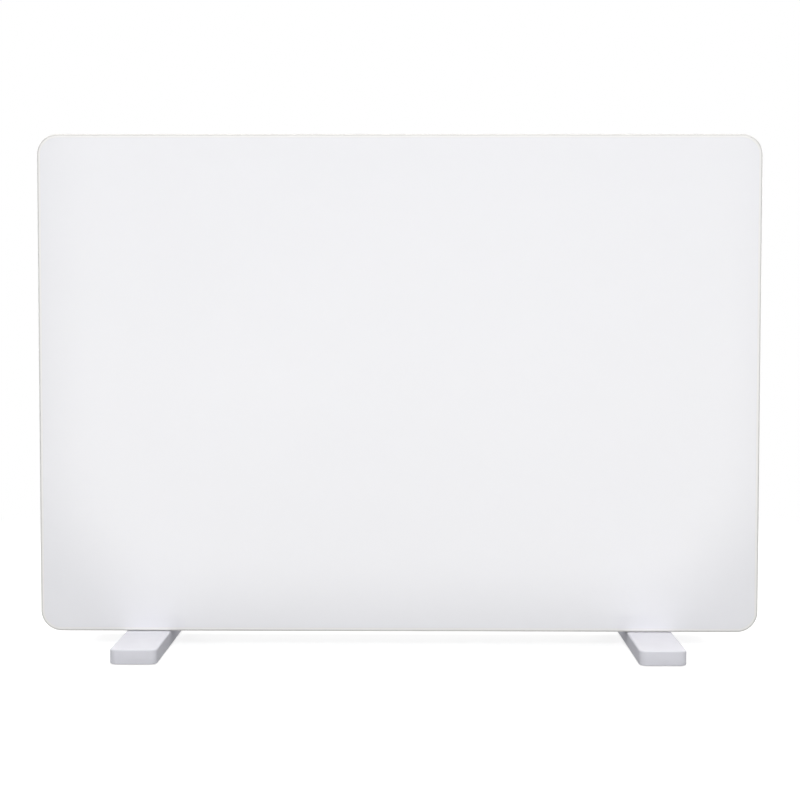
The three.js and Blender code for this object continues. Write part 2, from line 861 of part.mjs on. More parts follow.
function outletAssembly() {
  const group = new THREE.Group();
  group.position.set(0, casingTopY, flatCentreZ);
  group.rotation.x = -Math.PI / 2;
  group.add(outletGrille());
  const length = 2 * seatGap + grilleFlange + sheetThickness + grilleScrewProud;
  for (const [name, x] of [['grille_screw_left', -grilleScrewX], ['grille_screw_right', grilleScrewX]]) {
    const geometry = crossScrew(grilleScrewDiameter, grilleScrewHead, grilleScrewHeadHeight, length);
    const piece = mesh(name, geometry, 'plated');
    piece.position.set(x, 0, grilleFlange + 2 * seatGap);
    group.add(piece);
  }
  return group;
}

// Controls, drawn on the side wall with x to the back, y up and z outwards
function controlPlate() {
  const outline = roundedRectangle(controlWidth, controlLength, controlCornerRadius);
  const plate = softSlab(outline, controlThickness, controlEdgeRadius, smallCornerSteps, chamferSteps);
  plate.translate(0, -controlLength / 2, seatGap);
  return mesh('control_plate', worked(plate, [], controlHoles()), 'greyPlastic');
}

function controlScrews() {
  const length = 2 * seatGap + controlThickness + sheetThickness + controlScrewProud;
  const names = ['control_screw_upper', 'control_screw_lower'];
  return controlScrewYs.map((y, index) => {
    const geometry = crossScrew(controlScrewDiameter, controlScrewHead, controlScrewHeadHeight, length);
    const piece = mesh(names[index], geometry, 'plated');
    piece.position.set(0, y, controlFaceZ + seatGap);
    return piece;
  });
}

// The round of a shaft, or of its bore, with one flat
function flattedBar(diameter, flat, bottom, top) {
  const cutter = block(diameter, diameter, top - bottom + 2 * cutOverrun);
  cutter.translate(diameter - flat, 0, bottom - cutOverrun);
  return worked(bar(diameter, bottom, top, boreSides), [], [cutter]);
}

function flutedOutline() {
  const sides = knobFluteCount * knobSidesPerFlute;
  const points = [];
  for (let i = 0; i < sides; i += 1) {
    const angle = (i * 2 * Math.PI) / sides;
    const radius = knobDiameter / 2 - (knobFluteDepth * (1 - Math.cos(angle * knobFluteCount))) / 2;
    points.push([radius * Math.cos(angle), radius * Math.sin(angle)]);
  }
  return polygonOutline(points);
}

function thermostatKnob() {
  const grip = softSlab(flutedOutline(), knobHeight, knobEdgeRadius, smallCornerSteps, chamferSteps);
  grip.translate(0, 0, knobBackZ);
  const skirt = bar(knobSkirtDiameter, knobBackZ, knobBackZ + knobSkirtHeight, 2 * boreSides);
  const hollow = bar(knobHollowDiameter, knobBackZ - cutOverrun, knobBackZ + knobHollowDepth, roundSides);
  const boreTopZ = knobBackZ + knobHeight - knobCap;
  const bore = flattedBar(shaftDiameter + 2 * holeGap, shaftFlat, knobBackZ, boreTopZ);
  const mark = block(knobMarkWidth, knobDiameter / 2, knobMarkDepth + cutOverrun);
  mark.translate(0, knobDiameter * knobMarkCentreShare, knobBackZ + knobHeight - knobMarkDepth);
  mark.rotateZ(THREE.MathUtils.degToRad(knobStartDegrees));
  return mesh('thermostat_knob', worked(grip, [skirt], [hollow, bore, mark]), 'whitePlastic');
}

function thermostatShaft() {
  return mesh('thermostat_shaft', flattedBar(shaftDiameter, shaftFlat, shaftBottomZ, shaftTopZ), 'plated');
}

// Push-on blades in a row along y, reaching down from the given height
function blades(count, topZ) {
  return Array.from({ length: count }, (unused, index) => {
    const y = (index - (count - 1) / 2) * bladePitch;
    const root = bladeThickness;
    return block(bladeWidth, bladeThickness, bladeLength + root).translate(0, y, topZ - bladeLength);
  });
}

function thermostatBody() {
  const faceZ = -sheetThickness - seatGap;
  const outline = roundedRectangle(thermostatWidth, thermostatHeight, thermostatCornerRadius);
  const body = slab(outline, thermostatDepth, smallCornerSteps).translate(0, 0, faceZ - thermostatDepth);
  const bush = bar(bushDiameter, faceZ - sheetThickness, bushTopZ, boreSides);
  const bore = bar(shaftDiameter + 2 * holeGap, shaftBottomZ - seatGap, bushTopZ + cutOverrun, boreSides);
  const tails = blades(2, faceZ - thermostatDepth);
  return mesh('thermostat_body', worked(body, [bush, ...tails], [bore]), 'ceramic');
}

function thermostatNut() {
  const nut = nutWithBore(nutAcrossFlats, nutThickness, bushDiameter + 2 * holeGap);
  const piece = mesh('thermostat_nut', nut, 'plated');
  piece.position.z = nutBackZ;
  return piece;
}

function thermostat() {
  const group = new THREE.Group();
  group.position.y = knobY;
  group.add(thermostatKnob(), thermostatShaft(), thermostatBody(), thermostatNut());
  return group;
}

// A rocker in its off position. Its section is drawn level, in y and z about the pivot, then tilted.
function rockerForm() {
  const half = rockerLength / 2;
  const keel = rockerKeelWidth / 2;
  const outline = polygonOutline([
    [-half, rockerEndRise],
    [-half, rockerRise - rockerSideDepth],
    [-keel, -rockerKeelDepth],
    [keel, -rockerKeelDepth],
    [half, rockerRise - rockerSideDepth],
    [half, rockerEndRise],
    [0, rockerRise],
  ]);
  const body = slab(outline, rockerWidth).translate(0, 0, -rockerWidth / 2);
  const reach = rockerWidth / 2 + rockerPinReach;
  const pin = bar(rockerPinDiameter, -reach, reach, smallRoundSides);
  const form = worked(body, [pin], []);
  const upright = new THREE.Matrix4().makeBasis(
    new THREE.Vector3(0, 1, 0),
    new THREE.Vector3(0, 0, 1),
    new THREE.Vector3(1, 0, 0),
  );
  return form.applyMatrix4(upright).rotateX(rockerTilt);
}

function rocker(name) {
  const piece = mesh(name, rockerForm(), 'darkPlastic');
  piece.position.z = rockerPivotZ;
  return piece;
}

function switchFrame(name) {
  const bezelOutline = roundedRectangle(bezelWidth, bezelLength, switchCornerRadius);
  const bezel = slab(bezelOutline, switchBezelThickness, smallCornerSteps);
  bezel.translate(0, 0, controlFaceZ + seatGap);
  const depth = switchDepth + seatGap;
  const body = block(switchWidth, switchLength, depth).translate(0, 0, controlFaceZ + 2 * seatGap - depth);
  const bodyBottomZ = controlFaceZ + 2 * seatGap - depth;
  const well = block(wellWidth, wellLength, switchWellDepth + cutOverrun);
  well.translate(0, 0, bezelTopZ - switchWellDepth);
  const reach = switchWidth / 2 + cutOverrun;
  const pivot = bar(rockerPinDiameter + 2 * holeGap, -reach, reach, smallRoundSides);
  pivot.rotateY(Math.PI / 2).translate(0, 0, rockerPivotZ);
  return mesh(name, worked(bezel, [body, ...blades(2, bodyBottomZ)], [well, pivot]), 'darkPlastic');
}

function rockerSwitch(name, y) {
  const group = new THREE.Group();
  group.position.y = y;
  group.add(switchFrame(`${name}_switch_frame`), rocker(`${name}_rocker`));
  return group;
}

function indicatorLens() {
  const faceZ = controlFaceZ + seatGap;
  const shoulderZ = faceZ + lensFlangeThickness;
  const profile = [
    [0, -lensTail],
    [lensDiameter / 2, -lensTail],
    [lensDiameter / 2, faceZ],
    [lensFlangeDiameter / 2, faceZ],
    [lensFlangeDiameter / 2, shoulderZ],
    [lensDiameter / 2, shoulderZ + lensDome / 2],
    [lensDiameter / 4, shoulderZ + lensDome],
    [0, shoulderZ + lensDome],
  ];
  const piece = mesh('indicator_lens', turned(profile, boreSides), 'lens');
  piece.position.y = lensY;
  return piece;
}

function controls() {
  const group = new THREE.Group();
  group.position.set(casingHalfWidth, controlTopY, flatCentreZ);
  group.rotation.y = Math.PI / 2;
  group.add(controlPlate(), ...controlScrews(), thermostat(), indicatorLens());
  group.add(rockerSwitch('low_heat', lowSwitchY), rockerSwitch('high_heat', highSwitchY));
  return group;
}

// Heating chamber, drawn in the panel's frame
// A channel standing upright: its flanges turn away from the chamber.
function chamberWall(name, side) {
  const frontZ = plateBackZ - seatGap;
  const backZ = casingInnerBackZ + seatGap;
  const half = sheetThickness / 2;
  const section = [
    [-half, -frontZ],
    [chamberFlange, -frontZ],
    [chamberFlange, sheetThickness - frontZ],
    [half, sheetThickness - frontZ],
    [half, -backZ - sheetThickness],
    [chamberFlange, -backZ - sheetThickness],
    [chamberFlange, -backZ],
    [-half, -backZ],
  ];
  const outline = polygonOutline(section.map(([x, y]) => [side * x, y]));
  const upright = slab(outline, casingTopY - casingBottomY).rotateX(-Math.PI / 2);
  upright.translate(0, casingBottomY, 0);
  const wall = trimmed(upright, casingPan(sheetThickness + seatGap, rimFrontZ));
  const reach = chamberFlange;
  const bushHole = bar(elementBushDiameter + 2 * holeGap, -reach, reach, boreSides);
  const cutoutHole = bar(cutoutCapDiameter + 2 * holeGap, -reach, reach, boreSides);
  const holes = [bushHole.rotateY(Math.PI / 2).translate(0, elementY, flatCentreZ)];
  if (side > 0) {
    holes.push(cutoutHole.rotateY(Math.PI / 2).translate(0, cutoutY, flatCentreZ));
  }
  const piece = mesh(name, worked(wall, [], holes), 'plated');
  piece.position.x = side * chamberX;
  return piece;
}

function heatingElement() {
  const coreEnd = chamberInnerX - 2 * seatGap - elementBushFlangeThickness;
  const pinEnd = chamberOuterX + elementPinProud;
  const core = new THREE.BoxGeometry(2 * coreEnd, elementCoreSize, elementCoreSize);
  const pin = bar(elementPinDiameter, -pinEnd, pinEnd, smallRoundSides).rotateY(Math.PI / 2);
  const room = 2 * (coreEnd - finEndMargin) - finThickness;
  const count = Math.floor(room / finPitch) + 1;
  const fins = Array.from({ length: count }, (unused, index) => {
    const x = (index - (count - 1) / 2) * finPitch;
    return new THREE.BoxGeometry(finThickness, finHeight, finDepth).translate(x, 0, 0);
  });
  const piece = mesh('heating_element', worked(core, [pin, ...fins], []), 'aluminium');
  piece.position.set(0, elementY, flatCentreZ);
  return piece;
}

// A ceramic bush drawn with z pointing out of the chamber and z = 0 on the wall's inner face
function elementBush(name, side) {
  const bore = elementPinDiameter / 2 + holeGap;
  const outerZ = sheetThickness + elementBushProud;
  const profile = [
    [bore, -seatGap - elementBushFlangeThickness],
    [elementBushFlange / 2, -seatGap - elementBushFlangeThickness],
    [elementBushFlange / 2, -seatGap],
    [elementBushDiameter / 2, -seatGap],
    [elementBushDiameter / 2, outerZ],
    [bore, outerZ],
    [bore, -seatGap - elementBushFlangeThickness],
  ];
  const piece = mesh(name, turned(profile, boreSides), 'ceramic');
  piece.position.set(side * chamberInnerX, elementY, flatCentreZ);
  piece.rotation.y = (side * Math.PI) / 2;
  return piece;
}

function heatShield() {
  const half = chamberInnerX - seatGap;
  const depth = -casingInnerBackZ - shieldStandoff;
  const front = depth - shieldFlange;
  const inner = half - shieldThickness;
  const outline = polygonOutline([
    [-half, front],
    [-inner, front],
    [-inner, depth - shieldThickness],
    [inner, depth - shieldThickness],
    [inner, front],
    [half, front],
    [half, depth],
    [-half, depth],
  ]);
  const sheet = slab(outline, shieldHeight).rotateX(-Math.PI / 2);
  const piece = mesh('heat_shield', sheet, 'plated');
  piece.position.y = elementY - finHeight / 2;
  return piece;
}

// What sits on the chamber's outer wall, drawn with x to the back, y up and z away from the wall
function thermalCutout() {
  const earTop = seatGap + cutoutEarThickness;
  const bodyTop = earTop + cutoutBodyDepth;
  const cap = bar(cutoutCapDiameter, -sheetThickness - cutoutCapProud, earTop, boreSides);
  const body = bar(cutoutBodyDiameter, seatGap, bodyTop, boreSides);
  const ear = slab(obround(cutoutEarLength, cutoutBodyDiameter), cutoutEarThickness, slotEndSteps);
  const tails = blades(2, 0).map((blade) => blade.rotateX(Math.PI).translate(0, 0, bodyTop));
  const form = worked(cap, [body, ear.translate(0, 0, seatGap), ...tails], []);
  const piece = mesh('thermal_cutout', form, 'darkPlastic');
  piece.position.y = cutoutY;
  return piece;
}

function tipFrame() {
  const inner = seatGap + tipWall;
  const outer = inner + tipInnerWidth;
  const bottom = tipPinY - tipEarBelowPin;
  const outline = polygonOutline([
    [seatGap, bottom],
    [inner, bottom],
    [inner, tipWebUnderY],
    [outer, tipWebUnderY],
    [outer, bottom],
    [outer + tipWall, bottom],
    [outer + tipWall, 0],
    [seatGap, 0],
  ]);
  const body = slab(outline, tipDepth).rotateY(-Math.PI / 2).translate(tipDepth / 2, 0, 0);
  const hole = bar(tipPinDiameter + 2 * holeGap, -cutOverrun, outer + tipWall + cutOverrun, smallRoundSides);
  return mesh('tip_switch_frame', worked(body, [], [hole.translate(0, tipPinY, 0)]), 'whitePlastic');
}

function tipPin() {
  const end = seatGap + 2 * tipWall + tipInnerWidth + tipPinProud;
  const piece = mesh('tip_switch_pin', bar(tipPinDiameter, seatGap, end, smallRoundSides), 'plated');
  piece.position.y = tipPinY;
  return piece;
}

function tipPendulum() {
  const half = pendulumWidth / 2;
  const hub = bar(pendulumHubDiameter, -half, half, boreSides);
  const arm = new THREE.BoxGeometry(pendulumArmWidth, pendulumReach, pendulumWidth / 2);
  const bob = bar(pendulumBobDiameter, -half, half, boreSides).translate(0, -pendulumReach, 0);
  const bore = bar(tipPinDiameter + 2 * holeGap, -half - cutOverrun, half + cutOverrun, smallRoundSides);
  const form = worked(hub, [arm.translate(0, -pendulumReach / 2, 0), bob], [bore]);
  const piece = mesh('tip_switch_pendulum', form, 'brass');
  piece.position.set(0, tipPinY, tipCentreZ);
  return piece;
}

function tipMicroswitch() {
  const bottomY = tipWebUnderY - seatGap - microswitchHeight;
  const body = new THREE.BoxGeometry(microswitchLength, microswitchHeight, microswitchWidth);
  body.translate(0, bottomY + microswitchHeight / 2, 0);
  const plunger = bar(plungerDiameter, -plungerLength, plungerDiameter, smallRoundSides);
  plunger.rotateX(-Math.PI / 2).translate(0, bottomY, 0);
  const piece = mesh('tip_microswitch', worked(body, [plunger], []), 'darkPlastic');
  piece.position.z = tipCentreZ;
  return piece;
}

function chamberFittings() {
  const group = new THREE.Group();
  group.position.set(chamberOuterX, 0, flatCentreZ);
  group.rotation.y = Math.PI / 2;
  const tipSwitch = new THREE.Group();
  tipSwitch.position.y = tipTopY;
  tipSwitch.add(tipFrame(), tipPin(), tipPendulum(), tipMicroswitch());
  group.add(thermalCutout(), tipSwitch);
  return group;
}

// Supply side: gland, nut and terminal block
function cordGland() {
  const bore = glandBoreDiameter / 2;
  const stub = glandStubDiameter / 2;
  const stubEnd = -sheetThickness - seatGap - glandNutThickness - glandStubProud;
  const flangeTop = seatGap + glandFlangeThickness;
  const profile = [
    [bore, stubEnd],
    [stub, stubEnd],
    [stub, seatGap],
    [glandFlangeDiameter / 2, seatGap],
    [glandFlangeDiameter / 2, flangeTop],
    [glandNeckDiameter / 2, flangeTop],
    [glandMouthDiameter / 2, seatGap + glandLength],
    [bore, seatGap + glandLength],
    [bore, stubEnd],
  ];
  return mesh('cord_gland', turned(profile, boreSides), 'whitePlastic');
}

function glandNut() {
  const boreDiameter = glandStubDiameter + 2 * holeGap;
  const nut = nutWithBore(glandNutAcrossFlats, glandNutThickness, boreDiameter);
  const piece = mesh('gland_nut', nut, 'greyPlastic');
  piece.position.z = -sheetThickness - seatGap - glandNutThickness;
  return piece;
}

function glandAssembly() {
  const group = new THREE.Group();
  group.position.set(glandX, glandY, casingBackZ);
  group.rotation.y = Math.PI;
  group.add(cordGland(), glandNut());
  return group;
}

function terminalBlock() {
  const cuts = [];
  const wayPitch = blockLength / blockWayCount;
  for (let way = 0; way < blockWayCount; way += 1) {
    const y = (way - (blockWayCount - 1) / 2) * wayPitch;
    for (const x of [-blockWidth / 4, blockWidth / 4]) {
      const wellBottom = blockDepth - blockScrewDepth;
      const screwWell = bar(blockScrewDiameter, wellBottom, blockDepth + cutOverrun, screwSides);
      cuts.push(screwWell.translate(x, y, 0));
    }
  }
  for (let notch = 1; notch < blockWayCount; notch += 1) {
    const y = (notch - blockWayCount / 2) * wayPitch;
    const gap = block(blockWidth + 2 * cutOverrun, blockNotchWidth, blockNotchDepth + cutOverrun);
    cuts.push(gap.translate(0, y, blockDepth - blockNotchDepth));
  }
  const form = worked(block(blockWidth, blockLength, blockDepth), [], cuts);
  const piece = mesh('terminal_block', form, 'whitePlastic');
  piece.position.set(glandX, blockY, casingInnerBackZ + seatGap);
  return piece;
}

// Leads run inside the casing between points of the panel's frame.
function lead(name, points, finish) {
  const path = new THREE.CatmullRomCurve3(points.map((point) => new THREE.Vector3(...point)));
  const outline = regularOutline(leadDiameter / 2, leadSides);
  const along = { steps: leadSteps, bevelEnabled: false, extrudePath: path };
  return mesh(name, new THREE.ExtrudeGeometry(outline, along), finish);
}

function leads() {
  const bladeTipX = casingHalfWidth + controlFaceZ + seatGap - switchDepth - bladeLength;
  const lowY = controlTopY + lowSwitchY;
  const highY = controlTopY + highSwitchY;
  const thermostatTipX = casingHalfWidth - sheetThickness - seatGap - thermostatDepth - bladeLength;
  const thermostatY = controlTopY + knobY;
  const blockTopY = blockY + blockLength / 2 + seatGap;
  const blockLeadZ = casingInnerBackZ + seatGap + blockDepth / 2;
  const cutoutTipX = chamberOuterX + seatGap + cutoutEarThickness + cutoutBodyDepth + bladeLength;
  const pinEndX = chamberOuterX + elementPinProud;
  const half = bladePitch / 2;
  return [
    lead(
      'supply_lead',
      [
        [glandX, blockTopY, blockLeadZ],
        [glandX, blockTopY + leadExit, blockLeadZ],
        [bladeTipX - 2 * leadExit, (blockTopY + highY) / 2, blockLeadZ],
        [bladeTipX - leadExit, highY - half, flatCentreZ],
        [bladeTipX - seatGap, highY - half, flatCentreZ],
      ],
      'brown',
    ),
    lead(
      'thermostat_lead',
      [
        [bladeTipX - seatGap, lowY + half, flatCentreZ],
        [bladeTipX - leadExit, lowY + half, flatCentreZ],
        [thermostatTipX - 2 * leadExit, (lowY + thermostatY) / 2, flatCentreZ],
        [thermostatTipX - leadExit, thermostatY - half, flatCentreZ],
        [thermostatTipX - seatGap, thermostatY - half, flatCentreZ],
      ],
      'red',
    ),
    lead(
      'element_lead',
      [
        [cutoutTipX + seatGap, cutoutY - half, flatCentreZ],
        [cutoutTipX + leadExit, cutoutY - half, flatCentreZ],
        [cutoutTipX + leadExit, (cutoutY + elementY) / 2, flatCentreZ],
        [pinEndX + leadExit, elementY, flatCentreZ],
        [pinEndX + seatGap, elementY, flatCentreZ],
      ],
      'blue',
    ),
  ];
}

// Feet, drawn in a frame that stands on the floor below the middle of each foot
function footPlaces() {
  return [pedestalCentreY - footScrewOffset, pedestalCentreY + footScrewOffset];
}

function padPlaces() {
  const y = footLength / 2 - padInset - padLength / 2;
  return [-y, y];
}

function footBar(name) {
  const barOutline = roundedRectangle(footWidth, footLength, footCornerRadius);
  const base = softSlab(barOutline, footThickness, footEdgeRadius, cornerSteps).translate(0, 0, padProud);
  const pedestalOutline = roundedRectangle(pedestalWidth, pedestalLength, pedestalCornerRadius);
  const rootZ = footTopZ - footThickness / 2;
  const pedestal = slab(pedestalOutline, pedestalTopZ - rootZ, smallCornerSteps);
  pedestal.translate(0, pedestalCentreY, rootZ);
  const cuts = [];
  for (const y of padPlaces()) {
    const [width, length] = [padWidth + 2 * holeGap, padLength + 2 * holeGap];
    const outline = roundedRectangle(width, length, padCornerRadius + holeGap);
    const recess = slab(outline, padThickness + seatGap + cutOverrun, smallCornerSteps);
    cuts.push(recess.translate(0, y, -cutOverrun));
  }
  for (const y of footPlaces()) {
    const shank = bar(footScrewDiameter + 2 * holeGap, 0, pedestalTopZ + cutOverrun, smallRoundSides);
    const counterbore = bar(footScrewHead + 2 * holeGap, -cutOverrun, footScrewSeatZ, boreSides);
    cuts.push(shank.translate(0, y, 0), counterbore.translate(0, y, 0));
  }
  return mesh(name, worked(base, [pedestal], cuts), 'whitePlastic');
}

function footPad(name, y) {
  const outline = roundedRectangle(padWidth, padLength, padCornerRadius);
  const piece = mesh(name, slab(outline, padThickness, smallCornerSteps), 'rubber');
  piece.position.y = y;
  return piece;
}

function footScrew(name, y) {
  const seat = footScrewSeatZ - seatGap;
  const length = nutPlateBottomZ + nutPlateThickness + footScrewProud - seat;
  const geometry = crossScrew(footScrewDiameter, footScrewHead, footScrewHeadHeight, length);
  const piece = mesh(name, geometry, 'plated');
  piece.position.set(0, y, seat);
  piece.rotation.x = Math.PI;
  return piece;
}

function nutPlate(name) {
  const plate = block(nutPlateWidth, pedestalLength, nutPlateThickness);
  plate.translate(0, pedestalCentreY, nutPlateBottomZ);
  const holes = footPlaces().map((y) => {
    const diameter = footScrewDiameter + 2 * holeGap;
    const hole = bar(diameter, -cutOverrun, nutPlateThickness + cutOverrun, smallRoundSides);
    return hole.translate(0, y, nutPlateBottomZ);
  });
  return mesh(name, worked(plate, [], holes), 'plated');
}

function foot(side, x) {
  const group = new THREE.Group();
  group.position.x = x;
  group.add(footBar(`foot_${side}`), nutPlate(`nut_plate_${side}`));
  const ends = ['front', 'back'];
  padPlaces().forEach((y, index) => group.add(footPad(`foot_pad_${side}_${ends[index]}`, y)));
  footPlaces().forEach((y, index) => group.add(footScrew(`foot_screw_${side}_${ends[index]}`, y)));
  return group;
}

// The upright panel with all that it carries
function panel() {
  const group = new THREE.Group();
  group.position.set(0, glassFrontY, glassBottomZ);
  group.rotation.x = Math.PI / 2;
  group.add(glassPanel(), ...bondStrips(), frontPlate(), rearCasing(), ...rimScrews());
  group.add(outletAssembly(), controls());
  group.add(chamberWall('chamber_wall_left', -1), chamberWall('chamber_wall_right', 1), heatShield());
  group.add(heatingElement(), elementBush('element_bush_left', -1), elementBush('element_bush_right', 1));
  group.add(chamberFittings(), glandAssembly(), terminalBlock(), ...leads());
  return group;
}

const heater = new THREE.Group();
heater.name = 'glass_panel_heater';
heater.add(panel(), foot('left', -footX), foot('right', footX));

export default heater;
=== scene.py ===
"""Finish of a free-standing glass panel heater, built round its packed frame.

Everything is in metres. The glass faces -Y, the controls are on the +X side and the origin is on the floor.
"""

import json
import math

import bmesh
import bpy
from bpy.props import FloatProperty, FloatVectorProperty, IntProperty, PointerProperty
from mathutils import Matrix, Vector


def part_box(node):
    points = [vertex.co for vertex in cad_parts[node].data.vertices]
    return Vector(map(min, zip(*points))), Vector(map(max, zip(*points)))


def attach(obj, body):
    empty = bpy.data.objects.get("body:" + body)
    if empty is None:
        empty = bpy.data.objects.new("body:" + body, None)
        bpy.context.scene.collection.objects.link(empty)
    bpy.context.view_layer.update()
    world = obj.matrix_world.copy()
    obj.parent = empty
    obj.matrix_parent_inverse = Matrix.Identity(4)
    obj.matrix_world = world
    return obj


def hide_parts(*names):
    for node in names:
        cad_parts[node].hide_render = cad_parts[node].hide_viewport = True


bl_info = {
    "name": "Glass Panel Heater",
    "version": (1, 0, 0),
    "blender": (4, 5, 0),
    "location": "View3D > Sidebar > Heater",
    "description": "Builds the finish of a free-standing glass panel heater round its frame",
    "category": "Object",
}

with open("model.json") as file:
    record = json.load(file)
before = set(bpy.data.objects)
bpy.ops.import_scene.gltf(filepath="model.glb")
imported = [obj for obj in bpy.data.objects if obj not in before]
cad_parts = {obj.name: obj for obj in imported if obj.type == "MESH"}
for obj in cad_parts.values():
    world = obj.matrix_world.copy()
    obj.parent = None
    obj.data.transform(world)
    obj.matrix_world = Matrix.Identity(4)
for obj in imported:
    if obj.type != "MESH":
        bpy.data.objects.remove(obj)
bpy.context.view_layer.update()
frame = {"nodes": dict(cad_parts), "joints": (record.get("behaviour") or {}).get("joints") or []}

MM = 0.001
QUARTER = math.pi / 2

# A ring of this radius closes to a point
WELD = 0.001 * MM
# Gap round what passes through a sheet, and width of the narrow faces that keep an edge crisp
HAIR = 0.25 * MM
# How deep a form reaches into the one that it grows from
OVERLAP = HAIR / 4
# How far a cut runs past the wall that it goes through
OVERRUN = 2 * MM
# Edges that turn by more than this stay sharp in the shading
SHARP = math.radians(32)
# Edges that turn by more than this are rounded by a bevel
BEVELLED = math.radians(40)

# Ways to lay a form drawn in u, v and height on the heater
LEVEL = Matrix.Identity(4)
UPRIGHT = Matrix(((1, 0, 0), (0, 0, 1), (0, 1, 0))).to_4x4()
SIDEWAYS = Matrix(((0, 0, 1), (1, 0, 0), (0, 1, 0))).to_4x4()

# Sockets of a mix node that carry colours
FIRST_COLOUR = 6
SECOND_COLOUR = 7
MIXED_COLOUR = 2

# Words in the names of the frame's pieces
SIDES = ("left", "right")
ENDS = ("front", "back")
HEATS = ("low", "high")


def length(name, description, millimetres):
    """A size that a user would change."""
    return FloatProperty(
        name=name, description=description, default=millimetres * MM, unit="LENGTH", precision=4
    )


def angle(name, description, degrees):
    """An angle that a user would change."""
    return FloatProperty(name=name, description=description, default=math.radians(degrees), subtype="ANGLE")


def share(name, description, default):
    """A plain number from 0 to 1."""
    return FloatProperty(name=name, description=description, default=default, min=0, max=1)


def level(name, description, default):
    """A strength of light."""
    return FloatProperty(name=name, description=description, default=default, min=0)


def count(name, description, default, least=1):
    """A number of like things."""
    return IntProperty(name=name, description=description, default=default, min=least)


def linear(value):
    """A colour channel as the eye counts it, from 0 to 255, in linear light."""
    value = value / 255
    return value / 12.92 if value <= 0.04045 else ((value + 0.055) / 1.055) ** 2.4


def colour(name, description, *eye_values):
    """A colour that a user would change, given in eye values from 0 to 255."""
    default = [linear(value) for value in eye_values]
    return FloatVectorProperty(
        name=name, description=description, default=default, subtype="COLOR", min=0, max=1
    )


class GlassSettings(bpy.types.PropertyGroup):
    """Sizes and colours of the glass front and its bond."""

    corner: length("Corner radius", "Radius of the glass's four corners", 18.5)
    arris: length("Arris", "Radius of the ground edge", 1.2)
    ground: length("Ground width", "How far the ground edge reaches in from the side", 1.45)
    border: length("Clear border", "Where the enamel behind the glass begins, from the side", 3.1)
    line: length("Enamel line", "Width of the thin line along the edge of the enamel", 0.5)
    bond_edge: length("Bond edge", "Radius along the edges of the bond strips", 0.8)
    enamel: colour("Enamel", "Colour of the enamel seen through the glass", 235, 235, 240)
    edge: colour("Ground edge", "Colour of the ground edge", 213, 212, 211)
    border_tone: colour("Border tone", "Colour of the clear border", 238, 237, 238)
    line_tone: share("Line tone", "Tone of the enamel line beside the enamel's", 0.985)
    bond: colour("Bond", "Colour of the bond strips", 205, 206, 208)
    steps: count("Corner steps", "Facets of one corner", 20, 4)


class CasingSettings(bpy.types.PropertyGroup):
    """Sizes and colours of the steel casing and the front plate."""

    sheet: length("Sheet", "Thickness of the steel sheet", 1)
    rim: length("Rim", "Width of the rim round the open side", 9)
    corner: length("Corner radius", "Radius of the casing's corners", 16)
    back_edge: length("Back edge", "Radius along the edge of the back", 8)
    rim_fillet: length("Rim fillet", "Radius between the rim and the walls", 1.5)
    field_side: length("Field side", "From the casing's side to the raised field", 34)
    field_top: length("Field top", "From the casing's top to the raised field", 34)
    field_bottom: length("Field bottom", "From the casing's bottom to the raised field", 112)
    field_corner: length("Field corner", "Radius of the raised field's corners", 18)
    field_slope: length("Field slope", "Width of the slope round the raised field", 4)
    field_height: length("Field height", "How far the field stands proud", 2)
    louvre_length: length("Louvre length", "Length of one louvre", 42)
    louvre_height: length("Louvre height", "Height of one louvre", 9)
    louvre_reach: length("Louvre reach", "How far a louvre stands proud", 5)
    louvre_taper: length("Louvre end", "Length of the round end of a louvre", 7)
    louvre_pitch: length("Louvre pitch", "From one louvre to the next", 51)
    louvre_row_pitch: length("Row pitch", "From one row of louvres to the next", 20)
    louvre_first_row: length("First row", "From the casing's bottom to the first row's lips", 24)
    louvre_columns: count("Louvres in a row", "Count of louvres", 7)
    louvre_rows: count("Louvre rows", "Count of rows", 2)
    slot_length: length("Slot length", "Length of an inlet slot in the bottom", 36)
    slot_width: length("Slot width", "Width of an inlet slot in the bottom", 5)
    slot_pitch: length("Slot pitch", "From one inlet slot to the next", 46)
    slot_row_pitch: length("Slot row pitch", "From one row of slots to the next", 16)
    slot_columns: count("Slots in a row", "Count of slots", 8)
    slot_rows: count("Slot rows", "Count of rows of slots", 2)
    paint: colour("Paint", "Colour of the powder coat", 215, 215, 217)


class GrilleSettings(bpy.types.PropertyGroup):
    """Sizes and colour of the outlet grille."""

    flange: length("Flange", "Thickness of the flange", 2)
    corner: length("Corner radius", "Radius of the flange's corners", 3)
    lip: length("Lip", "Radius along the edges of the flange", 0.6)
    side_lap: length("Side lap", "How far the flange reaches past the collar at the sides", 6)
    end_lap: length("End lap", "How far the flange reaches past the collar at the ends", 12)
    wall: length("Wall", "Thickness of the collar", 2)
    vane_pitch: length("Vane pitch", "From one vane to the next", 12)
    vane_thickness: length("Vane thickness", "Thickness of a vane", 1.8)
    vane_sink: length("Vane sink", "How far the vanes lie below the flange", 0.6)
    rib: length("Rib", "Width of the rib along the middle", 2.4)
    slant: angle("Slant", "Slant of the vanes", 25)
    plastic: colour("Plastic", "Colour of the grille and the gland", 211, 211, 214)


